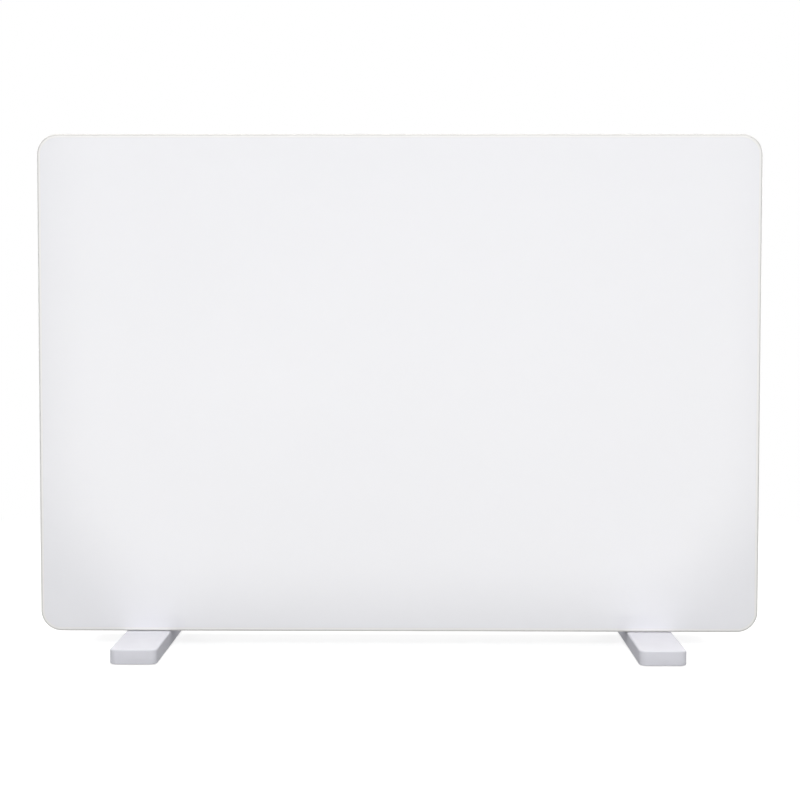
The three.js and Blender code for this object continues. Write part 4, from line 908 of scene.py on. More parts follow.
class HEATER_OT_casing(bpy.types.Operator):
    """Builds the pressed steel casing with its rim, raised field, louvres and slots"""

    bl_idname = "heater.casing"
    bl_label = "Rear Casing"

    def execute(self, context):
        settings = context.scene.heater_casing
        low, high = laid("rear_casing", UPRIGHT)
        rim = settings.rim
        pan = (low.x + rim, high.x - rim, low.y + rim, high.y - rim, settings.corner)
        front = low.z
        back = high.z - settings.louvre_reach
        form = Form().loft(self.rings(settings, pan, front, back), UPRIGHT)
        cuts = self.cuts(context, pan, front, back)
        paint = [powder_coat("powder_coat", settings.paint)]
        piece_of("casing_shell", form, paint, ["rear_casing"], cutter=cuts)
        hoods = Form()
        for x, z in self.louvre_places(settings, pan):
            corners, faces = self.louvre(settings)
            hoods.add(corners, faces, UPRIGHT @ Matrix.Translation((x, z, back - OVERLAP)))
        piece_of("casing_louvres", hoods, paint, ["rear_casing"])
        return {"FINISHED"}

    def rings(self, settings, pan, front, back):
        """Rings of the pressed pan, from the inside of the raised field round the rim to its outside."""
        field = (
            pan[0] + settings.field_side,
            pan[1] - settings.field_side,
            pan[2] + settings.field_bottom,
            pan[3] - settings.field_top,
            settings.field_corner,
        )
        edge = back - settings.back_edge
        rim_back = front + settings.sheet
        bevel = settings.sheet / 4
        fillet = settings.rim_fillet
        slope_steps = 8

        def skin(inset):
            """The walls' end, the back edge and the raised field, as a rectangle with its profile."""
            face = back - inset
            walls = [(inset, edge), *arc((inset, edge), (settings.back_edge, face), steps=8)]
            walls.append((settings.back_edge + HAIR, face))
            slope = [(-HAIR, face)]
            for step, turn in enumerate(half_turn(slope_steps)):
                across = step / slope_steps * settings.field_slope
                rise = (1 - math.cos(turn)) / 2 * settings.field_height
                slope.append((across, face + rise))
            slope.append((settings.field_slope + HAIR, face + settings.field_height))
            return rectangle_rings(pan, walls, steps=10) + rectangle_rings(field, slope, steps=10)

        rim = [
            (settings.sheet, front),
            (bevel - settings.rim, front),
            (-settings.rim, front + bevel),
            (-settings.rim, rim_back - bevel),
            (bevel - settings.rim, rim_back),
            (-fillet, rim_back),
            *arc((-fillet, rim_back), (0, rim_back + fillet), steps=4, hollow=True),
        ]
        return [*reversed(skin(settings.sheet)), *rectangle_rings(pan, rim, steps=10), *skin(0)]

    def louvre_places(self, settings, pan):
        """Middle and lower lip of each louvre, in x and z."""
        first = pan[2] + settings.louvre_first_row
        lips = [first + row * settings.louvre_row_pitch for row in range(settings.louvre_rows)]
        columns = row_of(settings.louvre_columns, settings.louvre_pitch, (pan[0] + pan[1]) / 2)
        return [(x, z) for z in lips for x in columns]

    def louvre(self, settings, steps=10):
        """A hood pressed out of the sheet, swelling from its root and its ends to an open lower lip."""
        flat = settings.louvre_length / 2 - settings.louvre_taper
        rows = [math.sin(step / steps * QUARTER) for step in range(steps + 1)]
        ends = [flat + settings.louvre_taper * row for row in rows]
        columns = [*[-u for u in reversed(ends)], 0, *ends]

        def swell(u, v):
            """Share of the full reach at a place on the hood, with v from 0 at the lip to 1 at the root."""
            over = max(0, abs(u) - flat) / settings.louvre_taper
            return math.sqrt(max(0, 1 - v * v) * max(0, 1 - over * over))

        def skin(reach):
            """Corners of the hood's outer or inner side, row by row."""
            return [(u, v * settings.louvre_height, reach * swell(u, v)) for v in rows for u in columns]

        outer = skin(settings.louvre_reach)
        inner = skin(settings.louvre_reach - settings.sheet)
        width = len(columns)
        base = len(outer)
        faces = []
        for row in range(steps):
            for column in range(width - 1):
                start = row * width + column
                quad = (start, start + 1, start + width + 1, start + width)
                faces.append(quad)
                faces.append(tuple(base + index for index in reversed(quad)))
        for column in range(width - 1):
            faces.append((column, base + column, base + column + 1, column + 1))
        return outer + inner, faces

    def cuts(self, context, pan, front, back):
        """Everything that is punched out of the pan."""
        settings = context.scene.heater_casing
        right, bottom, top = pan[1:4]
        form = Form()
        inside = back - settings.sheet - OVERRUN
        half = (settings.louvre_length - settings.louvre_taper) / 2
        for x, z in self.louvre_places(settings, pan):
            crest = z + settings.louvre_height - 2 * settings.sheet
            form.box((x - half, z, inside), (x + half, crest, back + OVERRUN), UPRIGHT)
        middle = centre_of("outlet_grille")
        reach = settings.slot_length / 2
        radius = settings.slot_width / 2
        for y in row_of(settings.slot_rows, settings.slot_row_pitch, middle.y):
            for x in row_of(settings.slot_columns, settings.slot_pitch, middle.x):
                loop = rounded_loop(x - reach, x + reach, y - radius, y + radius, radius - WELD, steps=6)
                form.prism(loop, bottom - OVERRUN, bottom + OVERRUN)
        screw_holes(form, "rim_screw", UPRIGHT, front, front)
        screw_holes(form, "foot_screw", LEVEL, bottom, bottom)
        screw_holes(form, "grille_screw", LEVEL, top, top)
        bore(form, "cord_gland", UPRIGHT, context.scene.heater_gland.hole, 0, inside, back + OVERRUN)
        mouth = collar_of(context.scene.heater_grille, HAIR)
        form.box((mouth[0], mouth[2], top - OVERRUN), (mouth[1], mouth[3], top + OVERRUN))
        control_holes(form, right, right)
        return form


def collar_of(settings, gap=0.0):
    """Left, right, front and rear of the grille's collar, or of the mouth round it with a gap."""
    low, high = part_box("outlet_grille")
    return (
        low.x + settings.end_lap - gap,
        high.x - settings.end_lap + gap,
        low.y + settings.side_lap - gap,
        high.y - settings.side_lap + gap,
    )


class HEATER_OT_grille(bpy.types.Operator):
    """Builds the outlet grille with its slanted vanes"""

    bl_idname = "heater.grille"
    bl_label = "Outlet Grille"

    def execute(self, context):
        settings = context.scene.heater_grille
        low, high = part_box("outlet_grille")
        top = high.z
        under = top - settings.flange
        lip = settings.lip
        wall = settings.wall
        flange = (low.x, high.x, low.y, high.y, settings.corner)
        collar = collar_of(settings)
        outside = [(lip, under), *arc((lip, under), (0, under + lip), steps=3, hollow=True)]
        outside += [(0, top - lip), *arc((0, top - lip), (lip, top), steps=4), (lip + HAIR, top)]
        inside = [(wall - lip - HAIR, top), (wall - lip, top)]
        inside += arc((wall - lip, top), (wall, top - lip), steps=4, hollow=True)
        inside += [(wall, low.z), (0, low.z), (0, under)]
        rings = rectangle_rings(flange, outside, steps=6)
        rings += rectangle_rings((*collar, wall), inside, steps=6)
        form = Form().loft(rings, closed=True)
        self.add_vanes(form, settings, collar, low.z, top - settings.vane_sink)
        holes = screw_holes(Form(), "grille_screw", LEVEL, under, top)
        finishes = [moulded("grille_plastic", settings.plastic, roughness=0.42, grain=0.7 * MM)]
        piece_of("grille_moulding", form, finishes, ["outlet_grille"], cutter=holes)
        return {"FINISHED"}

    def add_vanes(self, form, settings, collar, bottom, top):
        """Slanted vanes with round tops, and the rib that ties them together."""
        sink = settings.wall - HAIR
        left, right, front, rear = collar
        half = settings.vane_thickness / 2
        shift = (top - bottom) * math.tan(settings.slant)
        room = right - left - 2 * settings.wall - shift - settings.vane_thickness
        number = int(room / settings.vane_pitch) + 1
        for x in row_of(number, settings.vane_pitch, (left + right) / 2):
            section = self.round_topped(x - shift / 2, x + shift / 2, half, bottom, top)
            form.prism(section, front + sink, rear - sink, UPRIGHT)
        middle = (front + rear) / 2
        section = self.round_topped(middle, middle, settings.rib / 2, bottom, top)
        form.prism(section, left + sink, right - sink, SIDEWAYS)

    def round_topped(self, foot, head, half, bottom, top):
        """Section of a bar with a round top, between the middles of its foot and its head."""
        section = [(foot - half, bottom), (foot + half, bottom)]
        for turn in half_turn(8):
            section.append((head + half * math.cos(turn), top - half + half * math.sin(turn)))
        return section


class HEATER_OT_screws(bpy.types.Operator):
    """Builds all screws with their cross recesses"""

    bl_idname = "heater.screws"
    bl_label = "Screws"

    def execute(self, context):
        settings = context.scene.heater_screws
        facings = {
            "rim_screw": (0, 1, 0),
            "grille_screw": (0, 0, 1),
            "control_screw": (1, 0, 0),
            "foot_screw": (0, 0, -1),
        }
        for group, facing in facings.items():
            for node in screw_nodes(group):
                self.add_screw(settings, node, Vector(facing))
        return {"FINISHED"}

    def add_screw(self, settings, node, facing):
        """A pan-headed screw with its head facing a way."""
        low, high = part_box(node)
        along = max(range(3), key=lambda axis: abs(facing[axis]))
        across = (along + 1) % 3
        head = (high[across] - low[across]) / 2
        height = settings.height * head
        side = settings.side * height
        end = height - (high[along] - low[along])
        shank = settings.shank * head
        profile = [(WELD, end), (shank * settings.tip, end), (shank, end + shank * settings.tip_length)]
        profile += [(shank, 0), (head, 0), (head, side)]
        profile += arc((head, side), (head * (1 - settings.crown), height), steps=6)[:-1]
        profile += [(head * settings.flat, height), (WELD, height)]
        form = Form().loft(circle_rings(profile, steps=24))
        turned = Vector((0, 0, 1)).rotation_difference(facing).to_matrix().to_4x4()
        place = (low + high) / 2
        place[along] = (high if facing[along] > 0 else low)[along]
        cutter = self.recess(settings, head, height)
        piece = piece_of(f"{node}_turned", form, [zinc_plate()], [node], cutter=cutter)
        piece.data.transform(Matrix.Translation(place - facing * height) @ turned)

    def recess(self, settings, head, height):
        """The cross in a screw's head, which narrows towards its bottom."""
        reach = head * settings.cross
        width = head * settings.cross_width
        bottom = height - height * settings.cross_depth
        form = Form()
        for turn in (0, QUARTER):
            rings = []
            for reach_share, width_share, depth in ((0.7, 0.8, bottom), (1, 1, height + OVERRUN)):
                u = reach * reach_share
                v = width * width_share
                rings.append(at_height(rounded_loop(-u, u, -v, v, HAIR, steps=1), depth))
            form.loft(rings, Matrix.Rotation(turn, 4, "Z"))
        return form


class HEATER_OT_feet(bpy.types.Operator):
    """Builds the two bar feet with their pedestals, recesses and rubber pads"""

    bl_idname = "heater.feet"
    bl_label = "Feet"

    def execute(self, context):
        settings = context.scene.heater_feet
        plastic = moulded("foot_plastic", settings.plastic, roughness=0.75, grain=0.6 * MM, specular=0.1)
        rubber = soft_rubber("pad_rubber", settings.rubber)
        edge = settings.pad_edge
        for side in SIDES:
            self.add_foot(context, side, plastic)
            for end in ENDS:
                node = f"foot_pad_{side}_{end}"
                form = slab(node, LEVEL, settings.pad_corner, edge, edge, steps=6, edge_steps=3)
                piece_of(f"pad_{side}_{end}", form, [rubber], [node])
        return {"FINISHED"}

    def add_foot(self, context, side, plastic):
        """The bar and its pedestal as one moulding."""
        settings = context.scene.heater_feet
        node = f"foot_{side}"
        low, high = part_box(node)
        deck = low.z + settings.thickness
        bar = slab(node, LEVEL, settings.corner, settings.lower_edge, settings.edge, top=deck, edge_steps=6)
        nut_low, nut_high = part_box(f"nut_plate_{side}")
        inset = settings.pedestal_inset
        stand = (low.x + inset, high.x - inset, nut_low.y, nut_high.y, settings.pedestal_corner)
        fillet = settings.fillet
        seat = deck - OVERLAP
        rise = [(-fillet, deck - fillet), (-fillet, seat)]
        rise += arc((-fillet, seat), (0, deck + fillet), steps=4, hollow=True)
        rise += [(0, high.z - HAIR), (HAIR, high.z)]
        pedestal = Form().loft(rectangle_rings(stand, rise, steps=8))
        holes = Form()
        for end in ENDS:
            self.add_recesses(holes, context, f"{side}_{end}", high.z)
        piece_of(f"foot_bar_{side}", bar, [plastic], [node], added=pedestal, cutter=holes)

    def add_recesses(self, form, context, place, top):
        """The recess of one pad, and the hole of one screw with the recess for its head."""
        settings = context.scene.heater_feet
        screws = context.scene.heater_screws
        gap = settings.recess_gap
        low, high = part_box(f"foot_pad_{place}")
        corner = settings.pad_corner + gap
        loop = rounded_loop(low.x - gap, high.x + gap, low.y - gap, high.y + gap, corner, steps=6)
        form.prism(loop, -OVERRUN, high.z + gap)
        node = f"foot_screw_{place}"
        low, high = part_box(node)
        head_top = low.z + (high.x - low.x) / 2 * screws.height
        bore(form, node, LEVEL, 1, gap, -OVERRUN, head_top + gap)
        bore(form, node, LEVEL, screws.hole, gap, 0, top + OVERRUN)


def control_holes(form, bottom, top):
    """Holes for the thermostat, lens, switches and plate screws, past both heights of a wall."""
    scene = bpy.context.scene
    reach = (bottom - OVERRUN, top + OVERRUN)
    bore(form, "thermostat_nut", SIDEWAYS, scene.heater_plate.bush_hole, 0, *reach)
    bore(form, "indicator_lens", SIDEWAYS, scene.heater_lens.body, HAIR, *reach)
    lap = scene.heater_switches.lap - HAIR
    for heat in HEATS:
        low, high = laid(f"{heat}_heat_switch_frame", SIDEWAYS)
        form.box((low.x + lap, low.y + lap, reach[0]), (high.x - lap, high.y - lap, reach[1]), SIDEWAYS)
    return screw_holes(form, "control_screw", SIDEWAYS, bottom, top)


class HEATER_OT_control_plate(bpy.types.Operator):
    """Builds the control plate with the printed scale round the knob"""

    bl_idname = "heater.control_plate"
    bl_label = "Control Plate"

    def execute(self, context):
        settings = context.scene.heater_plate
        low, high = laid("control_plate", SIDEWAYS)
        form = slab("control_plate", SIDEWAYS, settings.corner, settings.edge / 4, settings.edge)
        holes = control_holes(Form(), low.z, high.z)
        piece_of("control_cover", form, [grey_plastic()], ["control_plate"], cutter=holes)
        self.add_scale(context, high.z)
        return {"FINISHED"}

    def add_scale(self, context, face):
        """Ticks that grow wider round the knob, and one or two bars beside each switch."""
        settings = context.scene.heater_plate
        form = Form()
        ink = (face - HAIR, face + 0.04 * MM)
        tick_growth = 0.07 * MM
        low, high = laid("thermostat_knob", SIDEWAYS)
        start = (high.x - low.x) / 2 + settings.tick_gap
        knob = centre_of("thermostat_knob")
        middle = Matrix.Translation((0, knob.y, knob.z)) @ SIDEWAYS
        mark_angle = context.scene.heater_knob.mark_angle
        for index in range(settings.ticks):
            turn = mark_angle * (1 - 2 * index / (settings.ticks - 1))
            half = (settings.tick_width + tick_growth * index) / 2
            tick = rounded_loop(-half, half, start, start + settings.tick_length, radius=0, steps=2)
            form.prism(tick, *ink, middle @ Matrix.Rotation(turn, 4, "Z"))
        half = settings.bar_length / 2
        for bars, heat in enumerate(HEATS, start=1):
            low, high = laid(f"{heat}_heat_switch_frame", SIDEWAYS)
            v = (low.y + high.y) / 2
            for bar in range(bars):
                u = high.x + settings.bar_gap + settings.bar_pitch * bar
                loop = rounded_loop(u, u + settings.bar_width, v - half, v + half, radius=0, steps=2)
                form.prism(loop, *ink, SIDEWAYS)
        finish = printed("plate_print", settings.print_white)
        piece_of("control_scale", form, [finish])


class HEATER_OT_knob(bpy.types.Operator):
    """Builds the fluted thermostat knob with its mark"""

    bl_idname = "heater.knob"
    bl_label = "Thermostat Knob"

    def execute(self, context):
        settings = context.scene.heater_knob
        matrix, size = on_wall("thermostat_knob")
        form = Form().loft(self.rings(settings, size), matrix)
        turn = matrix @ Matrix.Rotation(settings.mark_angle, 4, "Z")
        dish = size.x - settings.dish
        bottom = dish - settings.mark_depth
        groove = Form().prism(self.mark_loop(settings, 0), bottom, size.x + OVERRUN, turn)
        inlay_gap = 0.08 * MM
        inlay_lift = 0.05 * MM
        inlay_sink = 0.1 * MM
        inlay = self.mark_loop(settings, inlay_gap)
        mark = Form().prism(inlay, bottom + inlay_lift, dish - inlay_sink, turn)
        plastic = moulded("knob_plastic", settings.plastic, roughness=0.36, grain=0.5 * MM)
        ink = moulded("mark_plastic", context.scene.heater_switches.plastic, roughness=0.45, grain=0.5 * MM)
        dial = "thermostat_dial"
        piece_of("knob_grip", form, [plastic], ["thermostat_knob"], dial, cutter=groove)
        piece_of("knob_mark", mark, [ink], body=dial)
        return {"FINISHED"}

    def mark_loop(self, settings, gap):
        """Outline of the mark, or of its inlay with a gap all round."""
        half = settings.mark / 2 - gap
        start = settings.grip / 2 * settings.mark_start + gap
        end = settings.grip / 2 * settings.mark_end - gap
        return rounded_loop(-half, half, start, end, radius=0.9 * half, steps=6)

    def rings(self, settings, size):
        """Rings from the bore for the shaft round the skirt and the grip to the middle of the face."""
        height = size.x
        outer = size.y / 2
        bore_radius = settings.shaft / 2 + HAIR
        hollow = settings.hollow / 2
        skirt = settings.skirt
        skirt_foot = 0.3 * MM
        skirt_edge = 0.5 * MM
        flute_steps = 8
        number = settings.flutes * flute_steps
        back = [
            (bore_radius, height - settings.cap),
            (bore_radius, settings.hollow_depth),
            (hollow, settings.hollow_depth),
            (hollow, 0),
            (outer - skirt_foot, 0),
            (outer, skirt_foot),
            (outer, skirt - skirt_edge),
            (outer - skirt_edge, skirt),
        ]
        rings = circle_rings(back, number)
        taper = settings.taper
        edge = settings.edge
        sides = [(0, skirt), (0, skirt + HAIR)]
        sides += [(taper * part, skirt + (height - edge - skirt) * part) for part in (0.25, 0.5, 0.75, 1)]
        sides += arc((taper, height - edge), (taper + edge, height), steps=6)
        grip = settings.grip / 2
        # The flutes run out over the rounded edge, down to a share of their depth
        run_out = 1.5 * edge
        least_share = 0.25
        for inset, place in sides:
            fade = min(1, (height - place) / run_out + least_share)
            loop = self.fluted(grip - inset, settings.flute_depth * fade, settings.flutes, number)
            rings.append(at_height(loop, place))
        face = grip - taper - edge - settings.flute_depth / 2
        lip = 0.6 * MM
        slope = 2.4 * MM
        slope_shares = ((0, 0), (5 / 12, 0.6), (1, 1))
        top = [(face, height)]
        for across, down in slope_shares:
            top.append((face - lip - slope * across, height - settings.dish * down))
        top.append((WELD, height - settings.dish))
        return rings + circle_rings(top, number)

    def fluted(self, radius, depth, flutes, number):
        """A circle with shallow round flutes."""
        loop = []
        for step in range(number):
            turn = 2 * math.pi * step / number
            reach = radius - depth * (1 - math.cos(turn * flutes)) / 2
            loop.append((reach * math.cos(turn), reach * math.sin(turn)))
        return loop


class HEATER_OT_switches(bpy.types.Operator):
    """Builds the two rocker switches with their frames and printed marks"""

    bl_idname = "heater.switches"
    bl_label = "Rocker Switches"

    def execute(self, context):
        settings = context.scene.heater_switches
        for heat in HEATS:
            self.add_frame(settings, heat)
            self.add_rocker(settings, heat)
        return {"FINISHED"}

    def add_frame(self, settings, heat):
        """A rounded bezel with a deep well, and the blades behind it."""
        node = f"{heat}_heat_switch_frame"
        low, high = laid(node, SIDEWAYS)
        rectangle = (low.x, high.x, low.y, high.y, settings.bezel_corner)
        face = high.z
        under = face - settings.bezel
        blade_length = 7 * MM
        back = low.z + blade_length
        lap = settings.lap
        wall = lap + settings.wall
        edge = settings.bezel_edge
        brink = 0.4 * MM
        profile = [(lap + HAIR, back), (lap, back + HAIR), (lap, under), (0, under)]
        profile += [(0, face - edge), *arc((0, face - edge), (edge, face), steps=5), (wall - brink, face)]
        profile += arc((wall - brink, face), (wall, face - brink), steps=4, hollow=True)
        profile.append((wall, face - settings.well))
        form = Form().loft(rectangle_rings(rectangle, profile, steps=6), SIDEWAYS)
        middle = (low + high) / 2
        blade_pitch = 9 * MM
        wide = 2.4 * MM
        thin = 0.4 * MM
        for v in row_of(2, blade_pitch, middle.y):
            corner = (middle.x + wide, v + thin, back + HAIR)
            form.box((middle.x - wide, v - thin, low.z), corner, SIDEWAYS)
        piece_of(f"{heat}_switch_housing", form, [black_plastic()], [node])

    def add_rocker(self, settings, heat):
        """A rocker whose two halves meet in a soft valley, tilted to its pressed lower end."""
        joint = next(item for item in frame["joints"] if item["name"] == f"{heat}_heat_press")
        tilt = settings.tilt
        lean = Matrix.Translation(joint["pos_m"]) @ Matrix.Rotation(tilt, 4, "Y")
        half = settings.rocker_height / 2
        rise = settings.rocker_rise
        hub = 3 * MM
        foot = -2 * MM
        side_drop = 3 * MM
        side = rise - side_drop
        valley = settings.valley
        half_steps = 12

        def top_at(z):
            """Height of the rocker's top over its pin."""
            return rise + math.tan(tilt) * (math.hypot(z, valley) - valley)

        places = [half * (1 - step / half_steps) for step in range(2 * half_steps + 1)]
        section = [(top_at(z), z) for z in places]
        section += [(side, -half), (foot, -hub), (foot, hub), (side, half)]
        wide = settings.rocker_width / 2
        form = Form().prism(section, -wide, wide, lean @ UPRIGHT)
        body = f"{heat}_heat_button"
        name = f"{heat}_rocker"
        edge = 0.45 * MM
        node = f"{heat}_heat_rocker"
        piece_of(f"{name}_key", form, [black_plastic()], [node], body, bevel=edge)
        place_share = 0.52
        reach = half * place_share

        def on_half(z, turn):
            """Lays a mark on the half of the rocker at that height."""
            place = Matrix.Translation((top_at(reach), 0, z))
            return lean @ place @ Matrix.Rotation(turn, 4, "Y") @ SIDEWAYS

        sunk = -0.1 * MM
        proud = 0.03 * MM
        bar_width = 0.5 * MM
        bar_length = 3 * MM
        u = bar_width / 2
        v = bar_length / 2
        bar = rounded_loop(-u, u, -v, v, radius=0, steps=2)
        marks = Form().prism(bar, sunk, proud, on_half(reach, tilt))
        outer = 1.45 * MM
        inner = 1 * MM
        ring = [(outer, sunk), (outer, proud), (inner, proud), (inner, sunk)]
        marks.loft(circle_rings(ring, steps=32), on_half(-reach, -tilt), closed=True)
        ink = printed("rocker_print", bpy.context.scene.heater_plate.print_white)
        piece_of(f"{name}_marks", marks, [ink], body=body)


class HEATER_OT_lens(bpy.types.Operator):
    """Builds the domed indicator lens"""

    bl_idname = "heater.lens"
    bl_label = "Indicator Lens"

    def execute(self, context):
        settings = context.scene.heater_lens
        matrix, size = on_wall("indicator_lens")
        flange = size.y / 2
        body = flange * settings.body
        shelf = size.x - settings.dome
        seat = shelf - settings.flange
        edge = settings.edge
        profile = [(WELD, 0), (body, 0), (body, seat), (flange, seat)]
        profile += [(flange, shelf - edge), (flange - edge, shelf), (body, shelf)]
        profile += arc((body, shelf), (0, size.x), steps=8)
        form = Form().loft(circle_rings(profile, steps=48), matrix)
        finish = clear_amber("amber_lens", settings.amber)
        piece_of("lens_dome", form, [finish], ["indicator_lens"])
        return {"FINISHED"}


class HEATER_OT_gland(bpy.types.Operator):
    """Builds the ribbed cord gland and finishes its nut"""

    bl_idname = "heater.gland"
    bl_label = "Cord Gland"

    def execute(self, context):
        settings = context.scene.heater_gland
        low, high = laid("cord_gland", UPRIGHT)
        middle = centre_of("cord_gland")
        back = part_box("rear_casing")[1].y - context.scene.heater_casing.louvre_reach
        flange = (high.x - low.x) / 2
        spigot = flange * settings.spigot
        bore_radius = settings.bore
        seat = back + settings.seat
        shoulder = seat + settings.flange
        seat_edge = 0.4 * MM
        edge = 0.8 * MM
        profile = [(bore_radius, low.z), (spigot, low.z), (spigot, seat), (flange - seat_edge, seat)]
        profile += [(flange, seat + seat_edge), (flange, shoulder - edge), (flange - edge, shoulder)]
        profile += self.sleeve(settings, flange, shoulder, high.z)
        profile += [(bore_radius + edge, high.z), (bore_radius, high.z - edge)]
        place = Matrix.Translation((middle.x, 0, middle.z)) @ UPRIGHT
        form = Form().loft(circle_rings(profile, steps=48), place, closed=True)
        base = context.scene.heater_grille.plastic
        plastic = moulded("gland_plastic", base, roughness=0.5, grain=0.6 * MM)
        piece_of("gland_sleeve", form, [plastic], ["cord_gland"])
        dress("gland_nut", grey_plastic(), edge=0.3 * MM)
        return {"FINISHED"}

    def sleeve(self, settings, flange, shoulder, end):
        """Profile of the grooved sleeve, which narrows from the flange to its mouth."""
        neck = flange * settings.neck
        mouth = flange * settings.mouth
        plain_neck = 0.5 * MM
        plain_mouth = 1.5 * MM
        start = shoulder + plain_neck
        reach = end - plain_mouth - start
        profile = [(neck, shoulder), (neck, shoulder + HAIR)]
        rib_steps = 8
        steps = settings.ribs * rib_steps
        for step in range(steps + 1):
            along = step / steps
            groove = settings.rib_depth * (1 - math.cos(2 * math.pi * settings.ribs * along)) / 2
            profile.append((neck + (mouth - neck) * along - groove, start + along * reach))
        bevel_width = 0.6 * MM
        bevel_length = 0.9 * MM
        return profile + [(mouth, end - bevel_length), (mouth - bevel_width, end)]


class HEATER_OT_inner_parts(bpy.types.Operator):
    """Finishes what the casing holds: heating chamber, thermostat, switches, wiring and nut plates"""

    bl_idname = "heater.inner_parts"
    bl_label = "Inner Parts"

    def execute(self, context):
        settings = context.scene.heater_inner
        black = black_plastic()
        plated = zinc_plate()
        bakelite = moulded("bakelite", settings.bakelite, roughness=0.35, grain=0.5 * MM)
        nylon = moulded("nylon", settings.nylon, roughness=0.42, grain=0.6 * MM)
        clay = fired_clay("ceramic", settings.ceramic)
        bright = settings.aluminium
        fins = metal("fin_aluminium", bright, roughness=0.34, grain=0.9 * MM, stretch=(0.3, 1, 1))
        brass = metal("brass", settings.brass, roughness=0.3, grain=0.5 * MM, stretch=(1, 1, 0.3))
        # Each piece with its finish and the radius along its edges in millimetres
        looks = {
            "chamber_wall_left": (plated, 0.15),
            "chamber_wall_right": (plated, 0.15),
            "heat_shield": (plated, 0.15),
            "heating_element": (fins, 0.12),
            "element_bush_left": (clay, 0.3),
            "element_bush_right": (clay, 0.3),
            "nut_plate_left": (plated, 0.3),
            "nut_plate_right": (plated, 0.3),
            "thermal_cutout": (bakelite, 0.25),
            "thermostat_body": (clay, 0.3),
            "thermostat_shaft": (plated, 0.2),
            "thermostat_nut": (plated, 0.25),
            "tip_switch_frame": (nylon, 0.25),
            "tip_switch_pin": (plated, 0.2),
            "tip_switch_pendulum": (brass, 0.3),
            "tip_microswitch": (black, 0.25),
            "terminal_block": (nylon, 0.3),
        }
        for node, (finish, edge) in looks.items():
            dress(node, finish, edge * MM)
        leads = {
            "supply_lead": ("lead_brown", settings.supply),
            "thermostat_lead": ("lead_red", settings.thermostat),
            "element_lead": ("lead_blue", settings.element),
        }
        for node, (name, base) in leads.items():
            dress(node, moulded(name, base, roughness=0.5, grain=0.5 * MM))
        return {"FINISHED"}


# Stage
def seen_by_eye(tree):
    """1 for rays from the camera, off gloss or through glass, and 0 for light that only fills in."""
    path = tree.nodes.new("ShaderNodeLightPath")
    total = path.outputs["Is Camera Ray"]
    for name in ("Is Glossy Ray", "Is Transmission Ray"):
        inputs = {0: total, 1: path.outputs[name]}
        total = add_node(tree, "ShaderNodeMath", inputs, operation="ADD", use_clamp=True)
    return total


def between(tree, factor, first, second):
    """A number that is the first at factor 0 and the second at factor 1."""
    return add_node(tree, "ShaderNodeMapRange", {"Value": factor, "To Min": first, "To Max": second})


def surroundings(settings):
    """A white world to look at that lights the object with a cool light at its own level."""
    world = bpy.data.worlds.new("surroundings")
    world.use_nodes = True
    tree = world.node_tree
    cool = [settings.surround * part for part in (0.96, 0.98, 1)]
    inputs = {"Factor": seen_by_eye(tree), FIRST_COLOUR: (*cool, 1), SECOND_COLOUR: (1, 1, 1, 1)}
    light = add_node(tree, "ShaderNodeMix", inputs, MIXED_COLOUR, data_type="RGBA")
    tree.links.new(light, tree.nodes["Background"].inputs["Color"])
    bpy.context.scene.world = world


def floor(settings):
    """A wide white floor that shows a soft shadow round the object."""
    material = bpy.data.materials.new("floor_white")
    material.use_nodes = True
    tree = material.node_tree
    tree.nodes.remove(tree.nodes["Principled BSDF"])
    place = add_node(tree, "ShaderNodeTexCoord", {}, "Object")
    distance = add_node(tree, "ShaderNodeVectorMath", {0: place}, "Value", operation="LENGTH")
    inputs = {"Value": distance, "From Min": settings.shadow_start, "From Max": settings.shadow_end}
    far = add_node(tree, "ShaderNodeMapRange", inputs, interpolation_type="SMOOTHSTEP")
    seen = seen_by_eye(tree)
    near = between(tree, far, settings.floor_near, 0)
    given_back = add_node(tree, "ShaderNodeMix", {"Factor": seen, "A": settings.floor, "B": near})
    diffuse = add_node(tree, "ShaderNodeBsdfDiffuse", {"Color": given_back})
    lift = {0: seen, 1: between(tree, far, settings.floor_lift, 1)}
    strength = add_node(tree, "ShaderNodeMath", lift, operation="MULTIPLY")
    glow = add_node(tree, "ShaderNodeEmission", {"Strength": strength})
    total = add_node(tree, "ShaderNodeAddShader", {0: diffuse, 1: glow})
    tree.links.new(total, tree.nodes["Material Output"].inputs["Surface"])
    reach = settings.floor_reach
    mesh = bpy.data.meshes.new("floor")
    corners = [(-reach, -reach, 0), (reach, -reach, 0), (reach, reach, 0), (-reach, reach, 0)]
    mesh.from_pydata(corners, [], [(0, 1, 2, 3)])
    mesh.materials.append(material)
    plane = bpy.data.objects.new("floor", mesh)
    plane.visible_glossy = False
    bpy.context.scene.collection.objects.link(plane)


def lamp(name, radiance, glow, size, place, aim):
    """A flat rectangular lamp that the camera doesn't see."""
    data = bpy.data.lights.new(name, "AREA")
    data.shape = "RECTANGLE"
    data.size, data.size_y = size
    data.color = glow
    data.energy = radiance * math.pi * size[0] * size[1]
    made = bpy.data.objects.new(name, data)
    made.location = place
    made.rotation_euler = (Vector(aim) - Vector(place)).to_track_quat("-Z", "Y").to_euler()
    made.visible_camera = False
    bpy.context.scene.collection.objects.link(made)
    return data


def front_lamp(settings):
    """The large soft lamp that the glass mirrors, down to a wide U above its lower edge."""
    left = -1.16
    right = 1.15
    low = -0.64
    high = 0.9
    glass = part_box("glass_panel")[0].y
    place = Vector(((left + right) / 2, glass - settings.front_distance, (low + high) / 2))
    aim = Vector((place.x, glass, place.z))
    data = lamp("front_lamp", settings.front, (1, 0.985, 0.93), (right - left, high - low), place, aim)
    soft_edge(data, settings.front_corner, settings.front_fade, settings.front_top)


